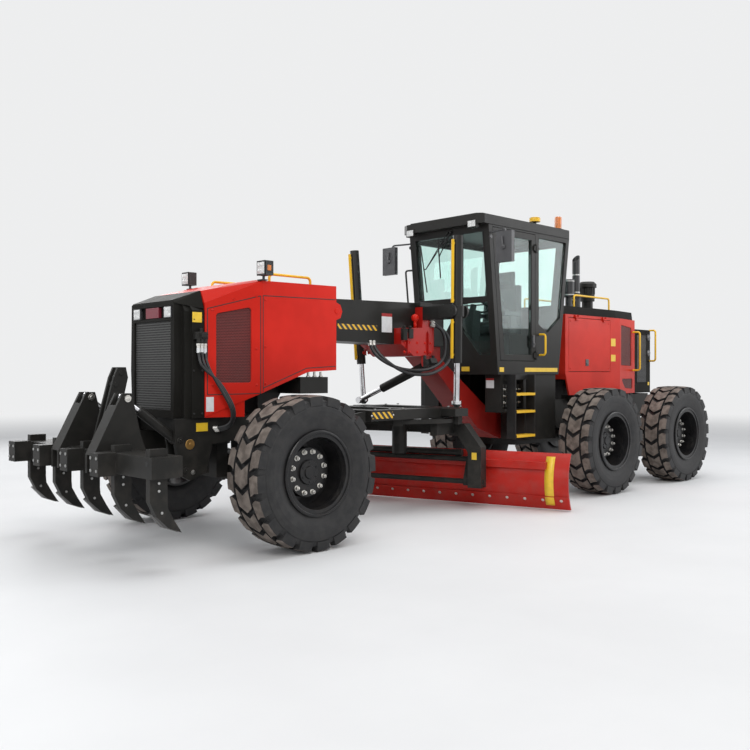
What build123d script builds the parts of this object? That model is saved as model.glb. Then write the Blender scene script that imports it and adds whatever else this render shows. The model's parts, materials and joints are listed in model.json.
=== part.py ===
"""Motor grader with a front ripper: an assembly of named pieces, each written to parts/NODE.step.

Millimetres. While modelling, X is forward from the front axle, Y to the left and Z up from the
ground. On export everything shifts by middle_x, so that the row's origin lies on the ground
under the middle of the machine's length.
"""
from build123d import *
import os
from math import atan2, cos, degrees, hypot, pi, radians, sin, tan

# ------------------------------------------------------------------ driving dimensions
# wheels
tyre_radius = 675
tyre_width = 445
lug_count = 18
lug_height = 38
rim_seat_radius = 318
rim_flange_radius = 368
rim_width = 400
bead_share = 0.84           # half width of the tyre at its bead, as a share
bead_y = bead_share * tyre_width / 2
hub_radius = 125
axle_radius = 75
running_gap = 0.05          # radial clearance of a turning fit
seat_gap = 0.3              # clearance of a piece that seats in another
moving_gap = 8              # clearance between pieces that pass each other

front_wheel_y = 1144
rear_wheel_y = 1084
tandem_x = -5959
tandem_half = 976           # from the tandem's pivot to each wheel
axle_z = tyre_radius

# joints
articulation_x = -4790
lean_pin_y, lean_pin_z = 660, 640
kingpin_y = 815
ball_x, ball_z = -600, 900
circle_x, circle_z = -2370, 1010
circle_radius = 730
blade_angle = 16.9          # the blade's left end trails by this
tip_v, tip_z = -215, 300    # tip pivot, in front of the circle's centre by v
ripper_pin_x, ripper_pin_z = 745, 685
lift_top = Vector(-2430, 838, 3050)      # left lift cylinder, its two ends
lift_foot = Vector(-2508, 750, 1180)
lift_pin_z = 2221

# main widths, as half widths
hood_half = 607             # front hood at its knee
beam_half = 215
neck_half = 160
cab_half = 640
rear_hood_half = 505

saddle_x = (-2060, -2600)   # front and rear face of the saddle
shift_base = Vector(-2500, 355, 1650)       # centre-shift cylinder, from the saddle
shift_eye = Vector(-2270, -560, 1215)       # to the drawbar

middle_x = 2960             # shift that puts the origin under the middle of the length


# ------------------------------------------------------------------ shape helpers
def box(x, y, z):
    """A box from (low, high) pairs."""
    size = Box(x[1] - x[0], y[1] - y[0], z[1] - z[0])
    return Pos((x[0] + x[1]) / 2, (y[0] + y[1]) / 2, (z[0] + z[1]) / 2) * size


def outline_face(points, radius=0):
    """A flat face through the points, with every corner rounded by radius."""
    face = make_face(Polyline(*points, close=True))
    return fillet(face.vertices(), radius) if radius else face


def side_plate(points, y, radius=0):
    """A plate whose (x, z) outline is given, from y[0] to y[1]."""
    face = Plane.XZ * outline_face(points, radius)
    return Pos(0, y[0], 0) * extrude(face, y[1] - y[0], dir=(0, 1, 0))


def flat_plate(points, z, radius=0):
    """A plate whose (x, y) outline is given, from z[0] to z[1]."""
    return Pos(0, 0, z[0]) * extrude(outline_face(points, radius), z[1] - z[0])


def cross_plate(points, x, radius=0):
    """A plate whose (y, z) outline is given, from x[0] to x[1]."""
    face = Plane.YZ * outline_face(points, radius)
    return Pos(x[0], 0, 0) * extrude(face, x[1] - x[0], dir=(1, 0, 0))


def bar(start, end, radius):
    """A round bar between two points."""
    start, end = Vector(start), Vector(end)
    along = end - start
    where = Plane(origin=start, z_dir=along).location
    return where * Cylinder(radius, along.length, align=(Align.CENTER, Align.CENTER, Align.MIN))


def beam(start, end, width, height):
    """A rectangular bar between two points, its width level and its height upright."""
    start, end = Vector(start), Vector(end)
    along = end - start
    level = Vector(0, 0, 1).cross(along)
    where = Plane(origin=start, x_dir=level, z_dir=along).location
    return where * Box(width, height, along.length, align=(Align.CENTER, Align.CENTER, Align.MIN))


def pipe(points, bend, radius):
    """A tube through the points with bends of one radius, filled."""
    path = FilletPolyline(*points, radius=bend)
    start = Plane(origin=path @ 0, z_dir=path % 0)
    return sweep(start * Circle(radius), path=path)


def both(shape):
    """The shape and its mirror image on the other side."""
    return shape + mirror(shape, Plane.XZ)


def other_side(shape):
    return mirror(shape, Plane.XZ)


# ------------------------------------------------------------------ door hinges
hinge_out = 14          # hinge axis outside a door's face
hinge_eye, hinge_pin = 12, 6


def upright_hinge(x, y, z, part):
    """Hinge of a left door, about a vertical axis at x, y: the leaf's half or the post's half."""
    if part == "leaf":
        eye = bar((x, y, z - 30), (x, y, z + 30), hinge_eye)
        eye += box((x - 3, x + 40), (y - hinge_out, y + 4), (z - 30, z + 30))
        return eye - bar((x, y, z - 60), (x, y, z + 60), hinge_pin + running_gap)
    ears = bar((x, y, z - 50), (x, y, z + 50), hinge_pin)
    for low, high in ((z - 52, z - 31), (z + 31, z + 52)):
        ears += bar((x, y, low), (x, y, high), hinge_eye)
        ears += box((x - 45, x), (y - hinge_out, y + 4), (low, high))
    return ears


def level_hinge(x, y, z, part):
    """Hinge of a left flap, about a fore-and-aft axis at y, z: the flap's half or the frame's half."""
    if part == "leaf":
        eye = bar((x - 30, y, z), (x + 30, y, z), hinge_eye)
        eye += box((x - 30, x + 30), (y - hinge_out, y + 4), (z - 40, z + 3))
        return eye - bar((x - 60, y, z), (x + 60, y, z), hinge_pin + running_gap)
    ears = bar((x - 50, y, z), (x + 50, y, z), hinge_pin)
    for low, high in ((x - 52, x - 31), (x + 31, x + 52)):
        ears += bar((low, y, z), (high, y, z), hinge_eye)
        ears += box((low, high), (y - hinge_out, y + 4), (z, z + 35))
    return ears


# ------------------------------------------------------------------ wheels
def tyre():
    """A tyre about the Y axis: a faceted carcass with a ring of chevron lugs."""
    facets = lug_count                          # each lug stands on one facet
    floor = tyre_radius - lug_height
    rings = [                                   # half-width share, radius
        (bead_share, rim_flange_radius + 10),
        (1.00, 510),
        (0.94, floor),
    ]
    rings = [(-share, radius) for share, radius in rings] + [
        (share, radius) for share, radius in reversed(rings)
    ]
    sections = [
        Plane.XZ.offset(-share * tyre_width / 2) * RegularPolygon(radius, facets)
        for share, radius in rings
    ]
    carcass = loft(sections, ruled=True)
    bore = Rot(90, 0, 0) * extrude(RegularPolygon(rim_seat_radius + seat_gap, facets, major_radius=False),
                                   tyre_width, both=True)
    half_width = 0.92 * tyre_width / 2
    lug_half, sweep_half = 44, 38
    arrow = [
        (-lug_half - sweep_half, -half_width),
        (lug_half - sweep_half, -half_width),
        (lug_half + sweep_half, 0),
        (lug_half - sweep_half, half_width),
        (-lug_half - sweep_half, half_width),
        (-lug_half + sweep_half, 0),
    ]
    lug = Pos(0, 0, -tyre_radius) * extrude(make_face(Polyline(*arrow, close=True)), 2 * lug_height)
    for turn in range(lug_count):
        carcass += Rot(0, 360 * turn / lug_count, 0) * lug
    return carcass - bore


def rim():
    """A deep-dish rim about the Y axis, its dish open towards +Y, with a blind hub bore."""
    half = rim_width / 2
    dish_radius = rim_seat_radius - 22
    disc_y = -30
    profile = [                                 # radius, y
        (0, disc_y + 62),
        (hub_radius, disc_y + 62),
        (hub_radius + 30, disc_y),
        (dish_radius, disc_y),
        (dish_radius + 16, half),
        (rim_flange_radius, half),
        (rim_flange_radius, bead_y + seat_gap),
        (rim_seat_radius, bead_y + seat_gap),
        (rim_seat_radius, -half),
        (dish_radius, -half),
        (hub_radius + 20, disc_y - 40),
        (hub_radius + 20, -half + 25),
        (axle_radius + running_gap, -half + 25),
        (axle_radius + running_gap, disc_y + 20),
        (0, disc_y + 20),
    ]
    return revolve(make_face(Polyline(*profile, close=True)), Axis.Y)


hub_in = rim_width / 2 - 25        # hub's inner face, from the wheel's middle
bore_end = 10                      # blind end of the hub's bore, inboard of the wheel's middle
stub_end = bore_end + 5            # stub axle's end


def place_wheel(shape, x, y):
    """A wheel part made about the origin, set on its axle with the dish outboard."""
    turned = shape if y > 0 else Rot(0, 0, 180) * shape
    return Pos(x, y, axle_z) * turned


# ------------------------------------------------------------------ front axle
axle_half = lean_pin_y + 45
axle_box = (530, 750)             # underside and top of the axle beam
pivot_pin_z = 640


def front_axle():
    """An arched beam that rocks about a fore-and-aft pin, with a fork for each lean head."""
    outline = [                                 # y, z
        (0, axle_box[1] + 40), (190, axle_box[1] + 20), (430, axle_box[1] - 20),
        (lean_pin_y - 75, 715), (lean_pin_y - 75, 560),
        (430, axle_box[0] + 10), (190, axle_box[0]), (0, axle_box[0]),
    ]
    whole = outline + [(-y, z) for y, z in reversed(outline[1:-1])]
    body = cross_plate(whole, (-115, 115))
    cheek = [(lean_pin_y - 120, 560), (lean_pin_y + 10, 575), (lean_pin_y + 48, lean_pin_z),
             (lean_pin_y + 10, 705), (lean_pin_y - 120, 715)]
    for x in ((-115, -75), (75, 115)):
        body += both(cross_plate(cheek, x))
    body -= bar((-200, 0, pivot_pin_z), (200, 0, pivot_pin_z), 60 + running_gap)
    pins = both(bar((-115, lean_pin_y, lean_pin_z), (115, lean_pin_y, lean_pin_z), 28))
    return body + pins


def lean_head():
    """The left lean head: an eye on the lean pin and a fork that holds the kingpin."""
    eye = bar((-75 + moving_gap, lean_pin_y, lean_pin_z), (75 - moving_gap, lean_pin_y, lean_pin_z), 55)
    web = box((-60, 60), (lean_pin_y, kingpin_y - 95), (500, 850))
    web += eye
    for z in ((455, 505), (845, 895)):
        arm = box((-62, 62), (lean_pin_y + 10, kingpin_y), z)
        web += arm + Pos(0, kingpin_y, (z[0] + z[1]) / 2) * Cylinder(62, z[1] - z[0])
    kingpin = Pos(0, kingpin_y, 675) * Cylinder(30, 400)
    hole = bar((-200, lean_pin_y, lean_pin_z), (200, lean_pin_y, lean_pin_z), 28 + running_gap)
    return web + kingpin - hole


def knuckle():
    """The left steering knuckle: a barrel on the kingpin and the stub axle of the wheel."""
    barrel = Pos(0, kingpin_y, 675) * Cylinder(72, 2 * (845 - moving_gap - 675))
    stub = bar((0, kingpin_y, axle_z), (0, front_wheel_y - stub_end, axle_z), axle_radius)
    arm = box((-170, 0), (kingpin_y - 25, kingpin_y + 25), (560, 600))
    hole = Pos(0, kingpin_y, 675) * Cylinder(30 + running_gap, 500)
    return barrel + stub + arm - hole


# ------------------------------------------------------------------ front frame
nose_front_x = 830
plate_y = (380, 420)              # nose side plates
deck_z = (1010, 1140)
deck_rear = -400
beam_x_ends = (-380, -2900)       # front and rear end of the box beam
beam_top = (2300, 2355)           # its top at those ends
beam_low = (1890, 1850)
base_pin_x, base_pin_z = 800, 955   # pins of the ripper cylinders


def beam_edge(heights, x):
    """Height of the beam's top or underside at x."""
    share = (x - beam_x_ends[0]) / (beam_x_ends[1] - beam_x_ends[0])
    return heights[0] + share * (heights[1] - heights[0])


def front_frame():
    """The welded front frame: nose plates, axle carrier, and the box beam up over the blade."""
    nose_plate = [                              # x, z
        (nose_front_x + 20, deck_z[1]), (nose_front_x + 20, 935), (790, 640), (700, 590),
        (540, 650), (470, 900), (deck_rear, 980), (deck_rear, deck_z[1]),
    ]
    frame = both(side_plate(nose_plate, plate_y))
    frame += box((deck_rear, nose_front_x - 90), (-plate_y[0], plate_y[0]), deck_z)
    # axle carriers before and behind the axle, with the oscillation pin
    for x in ((135, 260), (-260, -135)):
        frame += box(x, (-170, 170), (560, deck_z[0]))
    frame += bar((-260, 0, pivot_pin_z), (260, 0, pivot_pin_z), 60)
    # fork that holds the drawbar's ball post
    frame += box((ball_x + 180, -260), (-110, 110), (755, deck_z[0]))
    for z in ((755, 805), (995, 1045)):
        frame += box((ball_x, ball_x + 340), (-80, 80), z)
        frame += Pos(ball_x, 0, (z[0] + z[1]) / 2) * Cylinder(80, z[1] - z[0])
    frame -= Pos(ball_x, 0, ball_z) * Cylinder(45 + running_gap, 600)
    # cross plate that carries the ripper's lower pins and the cylinders' base pins
    frame += box((480, 520), (-plate_y[0], plate_y[0]), (640, deck_z[0]))
    lug = [(500, deck_z[0]), (500, 640), (700, 600), (790, 660), (850, 960), (820, deck_z[0])]
    frame += both(side_plate(lug, (245, 270)))
    # cross plate that carries the hood
    frame += box((-260, -200), (-hood_half + 25 + seat_gap, hood_half - 25 - seat_gap), (2150, 2290))
    # box beam and the post that carries it, under the hood
    beam_side = [
        (beam_x_ends[0], 1700), (beam_x_ends[0], beam_top[0]), (beam_x_ends[1], beam_top[1]),
        (beam_x_ends[1], beam_low[1]), (-900, beam_edge(beam_low, -900)), (-700, 1700),
    ]
    frame += side_plate(beam_side, (-beam_half, beam_half))
    frame += box((deck_rear, -180), (-beam_half, beam_half), (deck_z[1], 2200))
    frame += side_plate([(deck_rear, 1250), (-700, 1700), (deck_rear, 1700)], (-beam_half, beam_half))
    # tool box behind each front wheel, under the hood
    frame += box((-780, -430), (-560, 560), (1340, 1500))
    # pins of the ripper's arms and of its cylinders
    for x, z, radius in ((ripper_pin_x, ripper_pin_z, 28), (base_pin_x, base_pin_z, 25)):
        frame += both(bar((x, 245, z), (x, plate_y[1] + 12, z), radius))
    return frame


def gooseneck():
    """The red member that carries the beam down and back under the cab to the hinge."""
    side = [                                    # x, z
        (saddle_x[1] - 1, beam_edge(beam_low, saddle_x[1] - 1) - 0.1),
        (beam_x_ends[1], beam_low[1] - 0.1), (beam_x_ends[1], 1717), (-3805, 1095), (-4194, 993),
        (-4560, 985), (-4560, 760), (-4400, 700), (-4049, 700), (-3607, 850), (-2848, 1550),
        (saddle_x[1] - 1, 1750),
    ]
    neck = side_plate(side, (-neck_half, neck_half))
    hinge = [(-4560, 170), (articulation_x, 130), (articulation_x - 90, 60),
             (articulation_x - 90, -60), (articulation_x, -130), (-4560, -170)]
    for z in ((760, 810), (935, 985)):
        neck += flat_plate(hinge, z)
    return neck - Pos(articulation_x, 0, 900) * Cylinder(50 + running_gap, 600)


def lift_point(z):
    """The point of the left lift cylinder's axis at height z."""
    share = (z - lift_foot.Z) / (lift_top.Z - lift_foot.Z)
    return lift_foot + (lift_top - lift_foot) * share


lift_pin = lift_point(lift_pin_z)


def saddle():
    """The red casting round the beam, with the black cross arms that hold the lift cylinders."""
    front, rear = saddle_x
    shell = [(front, 2040), (rear, 2060), (rear, 1800), (rear + 60, 1730), (front - 200, 1730),
             (front, 1860)]
    casting = side_plate(shell, (-330, 330))
    far = 400
    casting -= side_plate(
        [(x, beam_edge(beam_low, x) - 1) for x in (front + far, rear - far)]
        + [(rear - far, 2600), (front + far, 2600)],
        (-beam_half - 1, beam_half + 1))
    lift_x, lift_y = lift_pin.X, lift_pin.Y
    for side in (1, -1):
        arm = box((lift_x - 60, lift_x + 60), (beam_half + 1, lift_y - 110), (2140, 2290))
        arm += box((lift_x - 60, lift_x + 60), (beam_half + 1, 330), (2030, 2290))
        for x in (-115, 90):
            cheek = box((lift_x + x, lift_x + x + 25), (lift_y - 180, lift_y), (2150, 2290))
            cheek += bar((lift_x + x, lift_y, lift_pin_z), (lift_x + x + 25, lift_y, lift_pin_z), 70)
            arm += cheek + box((lift_x - 115, lift_x + 115), (lift_y - 180, lift_y - 110), (2150, 2290))
        arm -= bar((lift_x - 200, lift_y, lift_pin_z), (lift_x + 200, lift_y, lift_pin_z), 26 + running_gap)
        casting += arm if side == 1 else other_side(arm)
    # lug for the centre-shift cylinder
    base_x, base_y, base_z = shift_base.X, shift_base.Y, shift_base.Z
    for x in (-86, 56):
        lug = box((base_x + x, base_x + x + 30), (base_y - 55, base_y), (base_z, 1740))
        lug += bar((base_x + x, base_y, base_z), (base_x + x + 30, base_y, base_z), 50)
        casting += lug
    return casting - bar((base_x - 200, base_y, base_z), (base_x + 200, base_y, base_z), 25 + running_gap)


# ------------------------------------------------------------------ front hood and nose
def hood_rows(inset, top):
    """Half outline of the front hood in plan, from its rear to its front."""
    return [(-850, hood_half - inset), (50, hood_half - inset), (570, 455 - inset)]


def hood_block(inset, top, low):
    """The hood's outer form: a wedge in plan with a bevelled roof edge."""
    plan = hood_rows(inset, top)
    whole = plan + [(x, -y) for x, y in reversed(plan)]
    side = flat_plate(whole, (low, top))
    bevel_side = [(-2000, 2410 - inset), (50, 2385 - inset), (570, 2165 - inset), (900, 2000 - inset),
                  (900, 0), (-2000, 0)]
    return side & side_plate(bevel_side, (-1000, 1000))


def front_hood():
    """The red front hood: an open-bottomed shell with mesh windows and a slanted rear corner."""
    wall = 25
    outer = hood_block(0, 2500, 1150)
    inner = hood_block(wall, 2475, 1000)
    shell = outer - inner
    rear_cut = side_plate([(-2000, 1000), (-2000, 1600), (-850, 1568), (-490, 1548), (40, 1360),
                           (560, 1150), (560, 1000)], (-1000, 1000))
    shell -= rear_cut
    shell -= box((-1000, -300), (-beam_half - 10, beam_half + 10), (1500, 2335))
    # recess of the mesh window in each angled panel, and a round lug at each rear corner
    knee = (50, hood_half)
    window = [(110, 1450), (110, 2140), (440, 2070), (440, 1450)]       # along the panel, z
    shell -= both(panel_recess(knee, (570, 455), window, 30))
    lug = side_plate([(-845, 2060), (-845, 2240), (-905, 2215), (-930, 2150), (-905, 2085)],
                     (hood_half - 25, hood_half))
    return shell + both(lug)


recess_depth = 12


def panel_recess(start, end, outline, radius):
    """A shallow pocket in a left side panel that runs in plan from start to end."""
    run = Vector(end[0] - start[0], end[1] - start[1], 0)
    inward = Vector(run.Y, -run.X, 0)
    where = Plane(origin=(start[0], start[1], 0), x_dir=run, z_dir=inward)
    face = outline_face(outline, radius)
    return where.location * Pos(0, 0, -recess_depth) * extrude(face, 2 * recess_depth)


cowl_low = deck_z[1] + seat_gap


def nose_cowl():
    """The dark nose: faceted sides, a lamp recess and a grille of level bars."""
    rear = [(-450, cowl_low), (450, cowl_low), (450, 2090), (390, 2160), (-390, 2160), (-450, 2090)]
    front = [(-360, cowl_low), (360, cowl_low), (385, 1560), (370, 2165), (340, 2175), (-340, 2175),
             (-370, 2165), (-385, 1560)]
    mid = [(-425, cowl_low), (425, cowl_low), (430, 1560), (425, 2080), (375, 2165), (-375, 2165),
           (-425, 2080), (-430, 1560)]
    body = cross_plate(rear, (575, 700)) + cross_plate(mid, (700, 760)) + cross_plate(front, (760, 835))
    window = box((700, 900), (-320, 320), (1210, 2000))
    lamps = box((800, 900), (-345, 345), (2025, 2130))
    body -= window
    body -= lamps
    body -= box((560, 700), (-400, 400), (1100, 2060))
    count = 15
    for row in range(count):
        z = 1240 + row * (1990 - 1240) / (count - 1)
        body += box((795, 815), (-320, 320), (z - 6, z + 6))
    return body


def front_lamps():
    """Head lamps in the recess and work lamps on posts at the hood's knees."""
    lamps = None
    for side in (1, -1):
        head = box((800 + seat_gap, 838), (side * 270 - 55, side * 270 + 55), (2030, 2125))
        work = box((0, 95), (side * 640 - 62, side * 640 + 62), (2430, 2560))
        work += Pos(50, side * 620, 2410) * Cylinder(12, 44)
        inner, outer = sorted((side * 560, side * 640))
        foot = box((20, 80), (inner, outer), (2385.7, 2396))
        for piece in (head, work + foot):
            lamps = piece if lamps is None else lamps + piece
    return lamps


# ------------------------------------------------------------------ blade group
# The blade frame turns with the circle: u runs along the blade to the left, v forward.
def from_blade(shape):
    """From the blade frame (X = v, Y = u) to the model frame."""
    return Pos(circle_x, 0, 0) * Rot(0, 0, blade_angle) * shape


drawbar_z = (1040, 1150)          # the flat rear part of the drawbar
ring_z = (985, 1031)              # the circle's ring
shoe_angles = (43, 105)           # guide shoes round the ring, from the front
drawbar_rail_y = (400, 610)
drawbar_front_x, drawbar_rear_x = -1330, -2720


def drawbar_ball():
    """The ball post on which the drawbar swings: it turns in the frame's fork."""
    post = Pos(ball_x, 0, ball_z) * Cylinder(45, 300)
    head = Pos(ball_x, 0, ball_z) * Cylinder(62, 120)
    pin = bar((ball_x, -104, ball_z), (ball_x, 104, ball_z), 32)
    return post + head + pin


def drawbar():
    """A welded A-frame that leads back from the ball post to the circle."""
    rail_mid = sum(drawbar_rail_y) / 2
    rail_half = (drawbar_rail_y[1] - drawbar_rail_y[0]) / 2
    rails = [
        (drawbar_front_x, rail_mid - 60), (drawbar_front_x, drawbar_rail_y[1]),
        (drawbar_rear_x, drawbar_rail_y[1]), (drawbar_rear_x, drawbar_rail_y[0]),
        (drawbar_front_x - 150, drawbar_rail_y[0]),
    ]
    frame = both(flat_plate(rails, drawbar_z))
    for x, length in ((drawbar_rear_x, 180), (-2160, 200), (-1560, 200)):
        frame += box((x, x + length), (-rail_mid, rail_mid), drawbar_z)
    mid_z = sum(drawbar_z) / 2
    height = drawbar_z[1] - drawbar_z[0]
    arm = beam((ball_x - 130, 84, ball_z), (drawbar_front_x - 60, rail_mid, mid_z), 90, height)
    arm &= box((drawbar_front_x - 40, ball_x), (0, 700), (700, drawbar_z[1]))
    cheek = box((ball_x - 160, ball_x + 50), (66, 102), (ball_z - 50, ball_z + 50))
    arm += cheek - bar((ball_x, 0, ball_z), (ball_x, 200, ball_z), 32 + running_gap)
    arm += box((ball_x - 200, ball_x - 110), (0, 102), (ball_z - 50, ball_z + 50))
    frame += both(arm)
    # ears under the lift cylinders' feet
    ear = box((lift_foot.X - 110, lift_foot.X + 110), (rail_mid, lift_foot.Y + 75), (1060, drawbar_z[1] - 4))
    frame += both(ear)
    # shoes that hold the ring by its rim
    shoe = box((circle_radius - 18, circle_radius + 45), (-50, 50), (ring_z[0] - 19, 1062))
    slot = Pos(0, 0, sum(ring_z) / 2) * Cylinder(circle_radius + 0.5, ring_z[1] - ring_z[0] + 1)
    for angle in shoe_angles:
        frame += both(Pos(circle_x, 0, 0) * (Rot(0, 0, angle) * shoe - slot))
    return frame


swivel_z, swivel_radius = (610, 1022), 87


def circle():
    """The turntable ring with its gear, and the yoke whose arms reach down to the blade."""
    ring_height = ring_z[1] - ring_z[0]
    ring = Cylinder(circle_radius, ring_height) - Cylinder(circle_radius - 150, 2 * ring_height)
    ring = Pos(0, 0, sum(ring_z) / 2) * ring
    beam_outline = [(-960, 240), (-960, 700), (-760, 960), (760, 960), (960, 700), (960, 240),
                    (800, 240), (800, 640), (660, 850), (-660, 850), (-800, 640), (-800, 240)]
    yoke = cross_plate(beam_outline, (-290, -130))
    yoke += box((-260, 300), (-620, -540), (850, 986))
    yoke += box((-260, 300), (540, 620), (850, 986))
    yoke += box((-290, -130), (-630, 630), (860, 986))
    # hose swivel in the middle, on a bracket from the yoke
    yoke += box((-140, 0), (-70, 70), (870, 930))
    yoke += Pos(0, 0, (swivel_z[0] + swivel_z[1]) / 2) * Cylinder(swivel_radius, swivel_z[1] - swivel_z[0])
    pin_hole = bar((tip_v, -1000, tip_z), (tip_v, 1000, tip_z), 30 + running_gap)
    return from_blade(ring + yoke - pin_hole)


blade_back_v = -400


rail_z = (465, 545)               # the slide rail on the blade's back
rail_front_v = blade_back_v + 30


def blade_carrier():
    """The frame that tips between the yoke's arms; its shoes run on the blade's rail."""
    frame = bar((tip_v, -970, tip_z), (tip_v, 970, tip_z), 30)
    front_v = blade_back_v + 42
    plate = [(front_v, 240), (front_v, 585), (front_v + 80, 585), (tip_v + 45, tip_z + 40),
             (tip_v + 45, tip_z - 40), (front_v + 60, 240)]
    slot = box((-1000, rail_front_v + 0.5), (-2000, 2000), (rail_z[0] - 0.5, rail_z[1] + 0.5))
    for u in (-790, 730):
        frame += side_plate(plate, (u, u + 60))
        frame += box((rail_front_v - 25, front_v + 5), (u, u + 60), (rail_z[0] - 25, rail_z[1] + 25)) - slot
    frame += bar((front_v + 40, -735, 545), (front_v + 40, 735, 545), 30)
    return from_blade(frame)


blade_left, blade_right = 1878, -1682
blade_low, blade_top = 15, 640


def moldboard():
    """The curved blade with its cutting edge and the rail on its back."""
    mid = (blade_low + blade_top) / 2
    back = ThreePointArc((blade_back_v - 110, blade_low), (blade_back_v, mid), (blade_back_v - 110, blade_top))
    face = ThreePointArc((blade_back_v - 132, blade_low), (blade_back_v - 22, mid),
                         (blade_back_v - 132, blade_top))
    edges = back + face + Line(back @ 0, face @ 0) + Line(back @ 1, face @ 1)
    section = make_face(edges)
    board = Pos(0, blade_right, 0) * extrude(Plane.XZ * section, blade_left - blade_right, dir=(0, 1, 0))
    board += box((blade_back_v - 50, rail_front_v), (blade_right + 150, blade_left - 250), rail_z)
    # cutting edge, a flat plate along the bottom of the back
    edge = [(blade_back_v - 45, 170), (blade_back_v - 12, 165), (blade_back_v - 93, blade_low),
            (blade_back_v - 120, blade_low)]
    board += side_plate(edge, (blade_right, blade_left))
    return from_blade(board)


# ------------------------------------------------------------------ cylinders
def along(axis_point, low, high, radius):
    """A bar on an inclined axis between two heights."""
    return bar(axis_point(low), axis_point(high), radius)


def lift_barrel():
    """Left lift cylinder: barrel with its trunnion clamp and guard tube."""
    body = along(lift_point, 1650, lift_top.Z, 55) + along(lift_point, lift_pin_z - 60, lift_pin_z + 60, 76)
    trunnion = Vector(115, 0, 0)
    body += bar(lift_pin - trunnion, lift_pin + trunnion, 26)
    offset = Vector(86, 0, 0)

    def guard_point(z):
        return lift_point(z) + offset

    body += along(guard_point, 1700, 2130, 17) + along(guard_point, 2310, 3000, 17)
    for z in (1740, 2100, 2340, 2960):
        point = lift_point(z)
        body += beam(point + Vector(20, 0, 0), point + offset, 20, 24)
    return body - along(lift_point, 1500, 2980, 32 + running_gap)


def lift_rod():
    """Left lift rod with the housing of its ball at the foot."""
    foot_low = drawbar_z[1] + moving_gap
    rod = along(lift_point, foot_low + 40, 2250, 32)
    foot = Cone(22, 55, 34, align=(Align.CENTER, Align.CENTER, Align.MIN))
    foot += Pos(0, 0, 34) * Cylinder(55, 36, align=(Align.CENTER, Align.CENTER, Align.MIN))
    return rod + Pos(lift_foot.X, lift_foot.Y, foot_low) * foot


shift_way = (shift_eye - shift_base).normalized()
shift_length = (shift_eye - shift_base).length
shift_barrel_length = 700


def shift_point(distance):
    return shift_base + shift_way * distance


def centre_shift_knuckle():
    """The small fork on the saddle's lug in which the centre-shift barrel swings."""
    fork = None
    for x in (-52, 42):
        cheek = bar(shift_base + Vector(x, 0, 0), shift_base + Vector(x + 10, 0, 0), 48)
        fork = cheek if fork is None else fork + cheek
    back = Vector(0, -shift_way.Y, -shift_way.Z).normalized()
    for x in (-52, 42):
        fork += beam(shift_base + back * 30 + Vector(x + 5, 0, 0),
                     shift_base + back * 74 + Vector(x + 5, 0, 0), 10, 60)
    fork += beam(shift_base + back * 60, shift_base + back * 74, 104, 60)
    return fork + bar(shift_base - Vector(86, 0, 0), shift_base + Vector(86, 0, 0), 25)


def centre_shift_barrel():
    reach = Vector(37, 0, 0)
    body = bar(shift_point(95), shift_point(shift_barrel_length), 50)
    body += bar(shift_point(0), shift_point(110), 30) + bar(shift_base - reach, shift_base + reach, 48)
    body -= bar(shift_base - 3 * reach, shift_base + 3 * reach, 25 + running_gap)
    return body - bar(shift_point(115), shift_point(shift_barrel_length + 100), 28 + running_gap)


def centre_shift_rod():
    reach = Vector(40, 0, 0)
    rod = bar(shift_point(400), shift_point(shift_length - 20), 28)
    return rod + bar(shift_eye - reach, shift_eye + reach, 40)


# ------------------------------------------------------------------ ripper
cross_x = (1245, 1510)            # the ripper's cross beam
cross_z = (735, 900)
cross_end = 1185
shank_ys = (-1100, -550, 0, 550, 1110)
pocket_ys = shank_ys[:-1]         # the left shank sits in the beam's own end
tower_y = 328
apex_x, apex_z = 1290, 1325
arm_pin_x, arm_pin_z = 1150, 760  # pins between the arms and the cross beam
cylinder_tilt = atan2(apex_z - base_pin_z, apex_x - base_pin_x)
cylinder_length = hypot(apex_z - base_pin_z, apex_x - base_pin_x)


def shank(y):
    """A curved shank with a tapered tooth, its tip towards the wheels."""
    return side_plate(
        [(1500, 960), (1500, 560), (1440, 440), (1340, 345), (1225, 300), (1290, 400),
         (1345, 500), (1350, 560), (1350, 960)],
        (y - 30, y + 30))


def ripper():
    """Cross beam with its pockets, shanks and the two towers that the cylinders hold."""
    body = box(cross_x, (-cross_end, cross_end), cross_z)
    for y in pocket_ys:
        body += box((cross_x[1] - 10, cross_x[1] + 150), (y - 70, y + 70), (cross_z[0] - 15, cross_z[1] + 5))
    for y in shank_ys:
        body += shank(y)
    tower = [(1590, 870), (1335, 1370), (1255, 1370), (1235, 1300), (1170, 1020), (1110, 860),
             (1110, 720), (1590, 720)]
    for side in (1, -1):
        for y in (-75, 45):
            body += side_plate(tower, (side * tower_y + y, side * tower_y + y + 30))
        web = [(1590, 870), (1385, 1272), (1360, 1260), (1565, 858)]
        body += side_plate(web, (side * tower_y - 50, side * tower_y + 50))
    for y in (-tower_y, tower_y):
        body += bar((arm_pin_x, y - 60, arm_pin_z), (arm_pin_x, y + 60, arm_pin_z), 28)
    # middle tower: two cheeks with two cross pins at their top
    middle = [(1400, 890), (1235, 1500), (1195, 1590), (1120, 1590), (1100, 1500), (1245, 880)]
    for y in (-55, 30):
        body += side_plate(middle, (y, y + 25))
    for x, z in ((1165, 1540), (1215, 1440)):
        body += bar((x, -62, z), (x, 62, z), 22)
    return body


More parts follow.
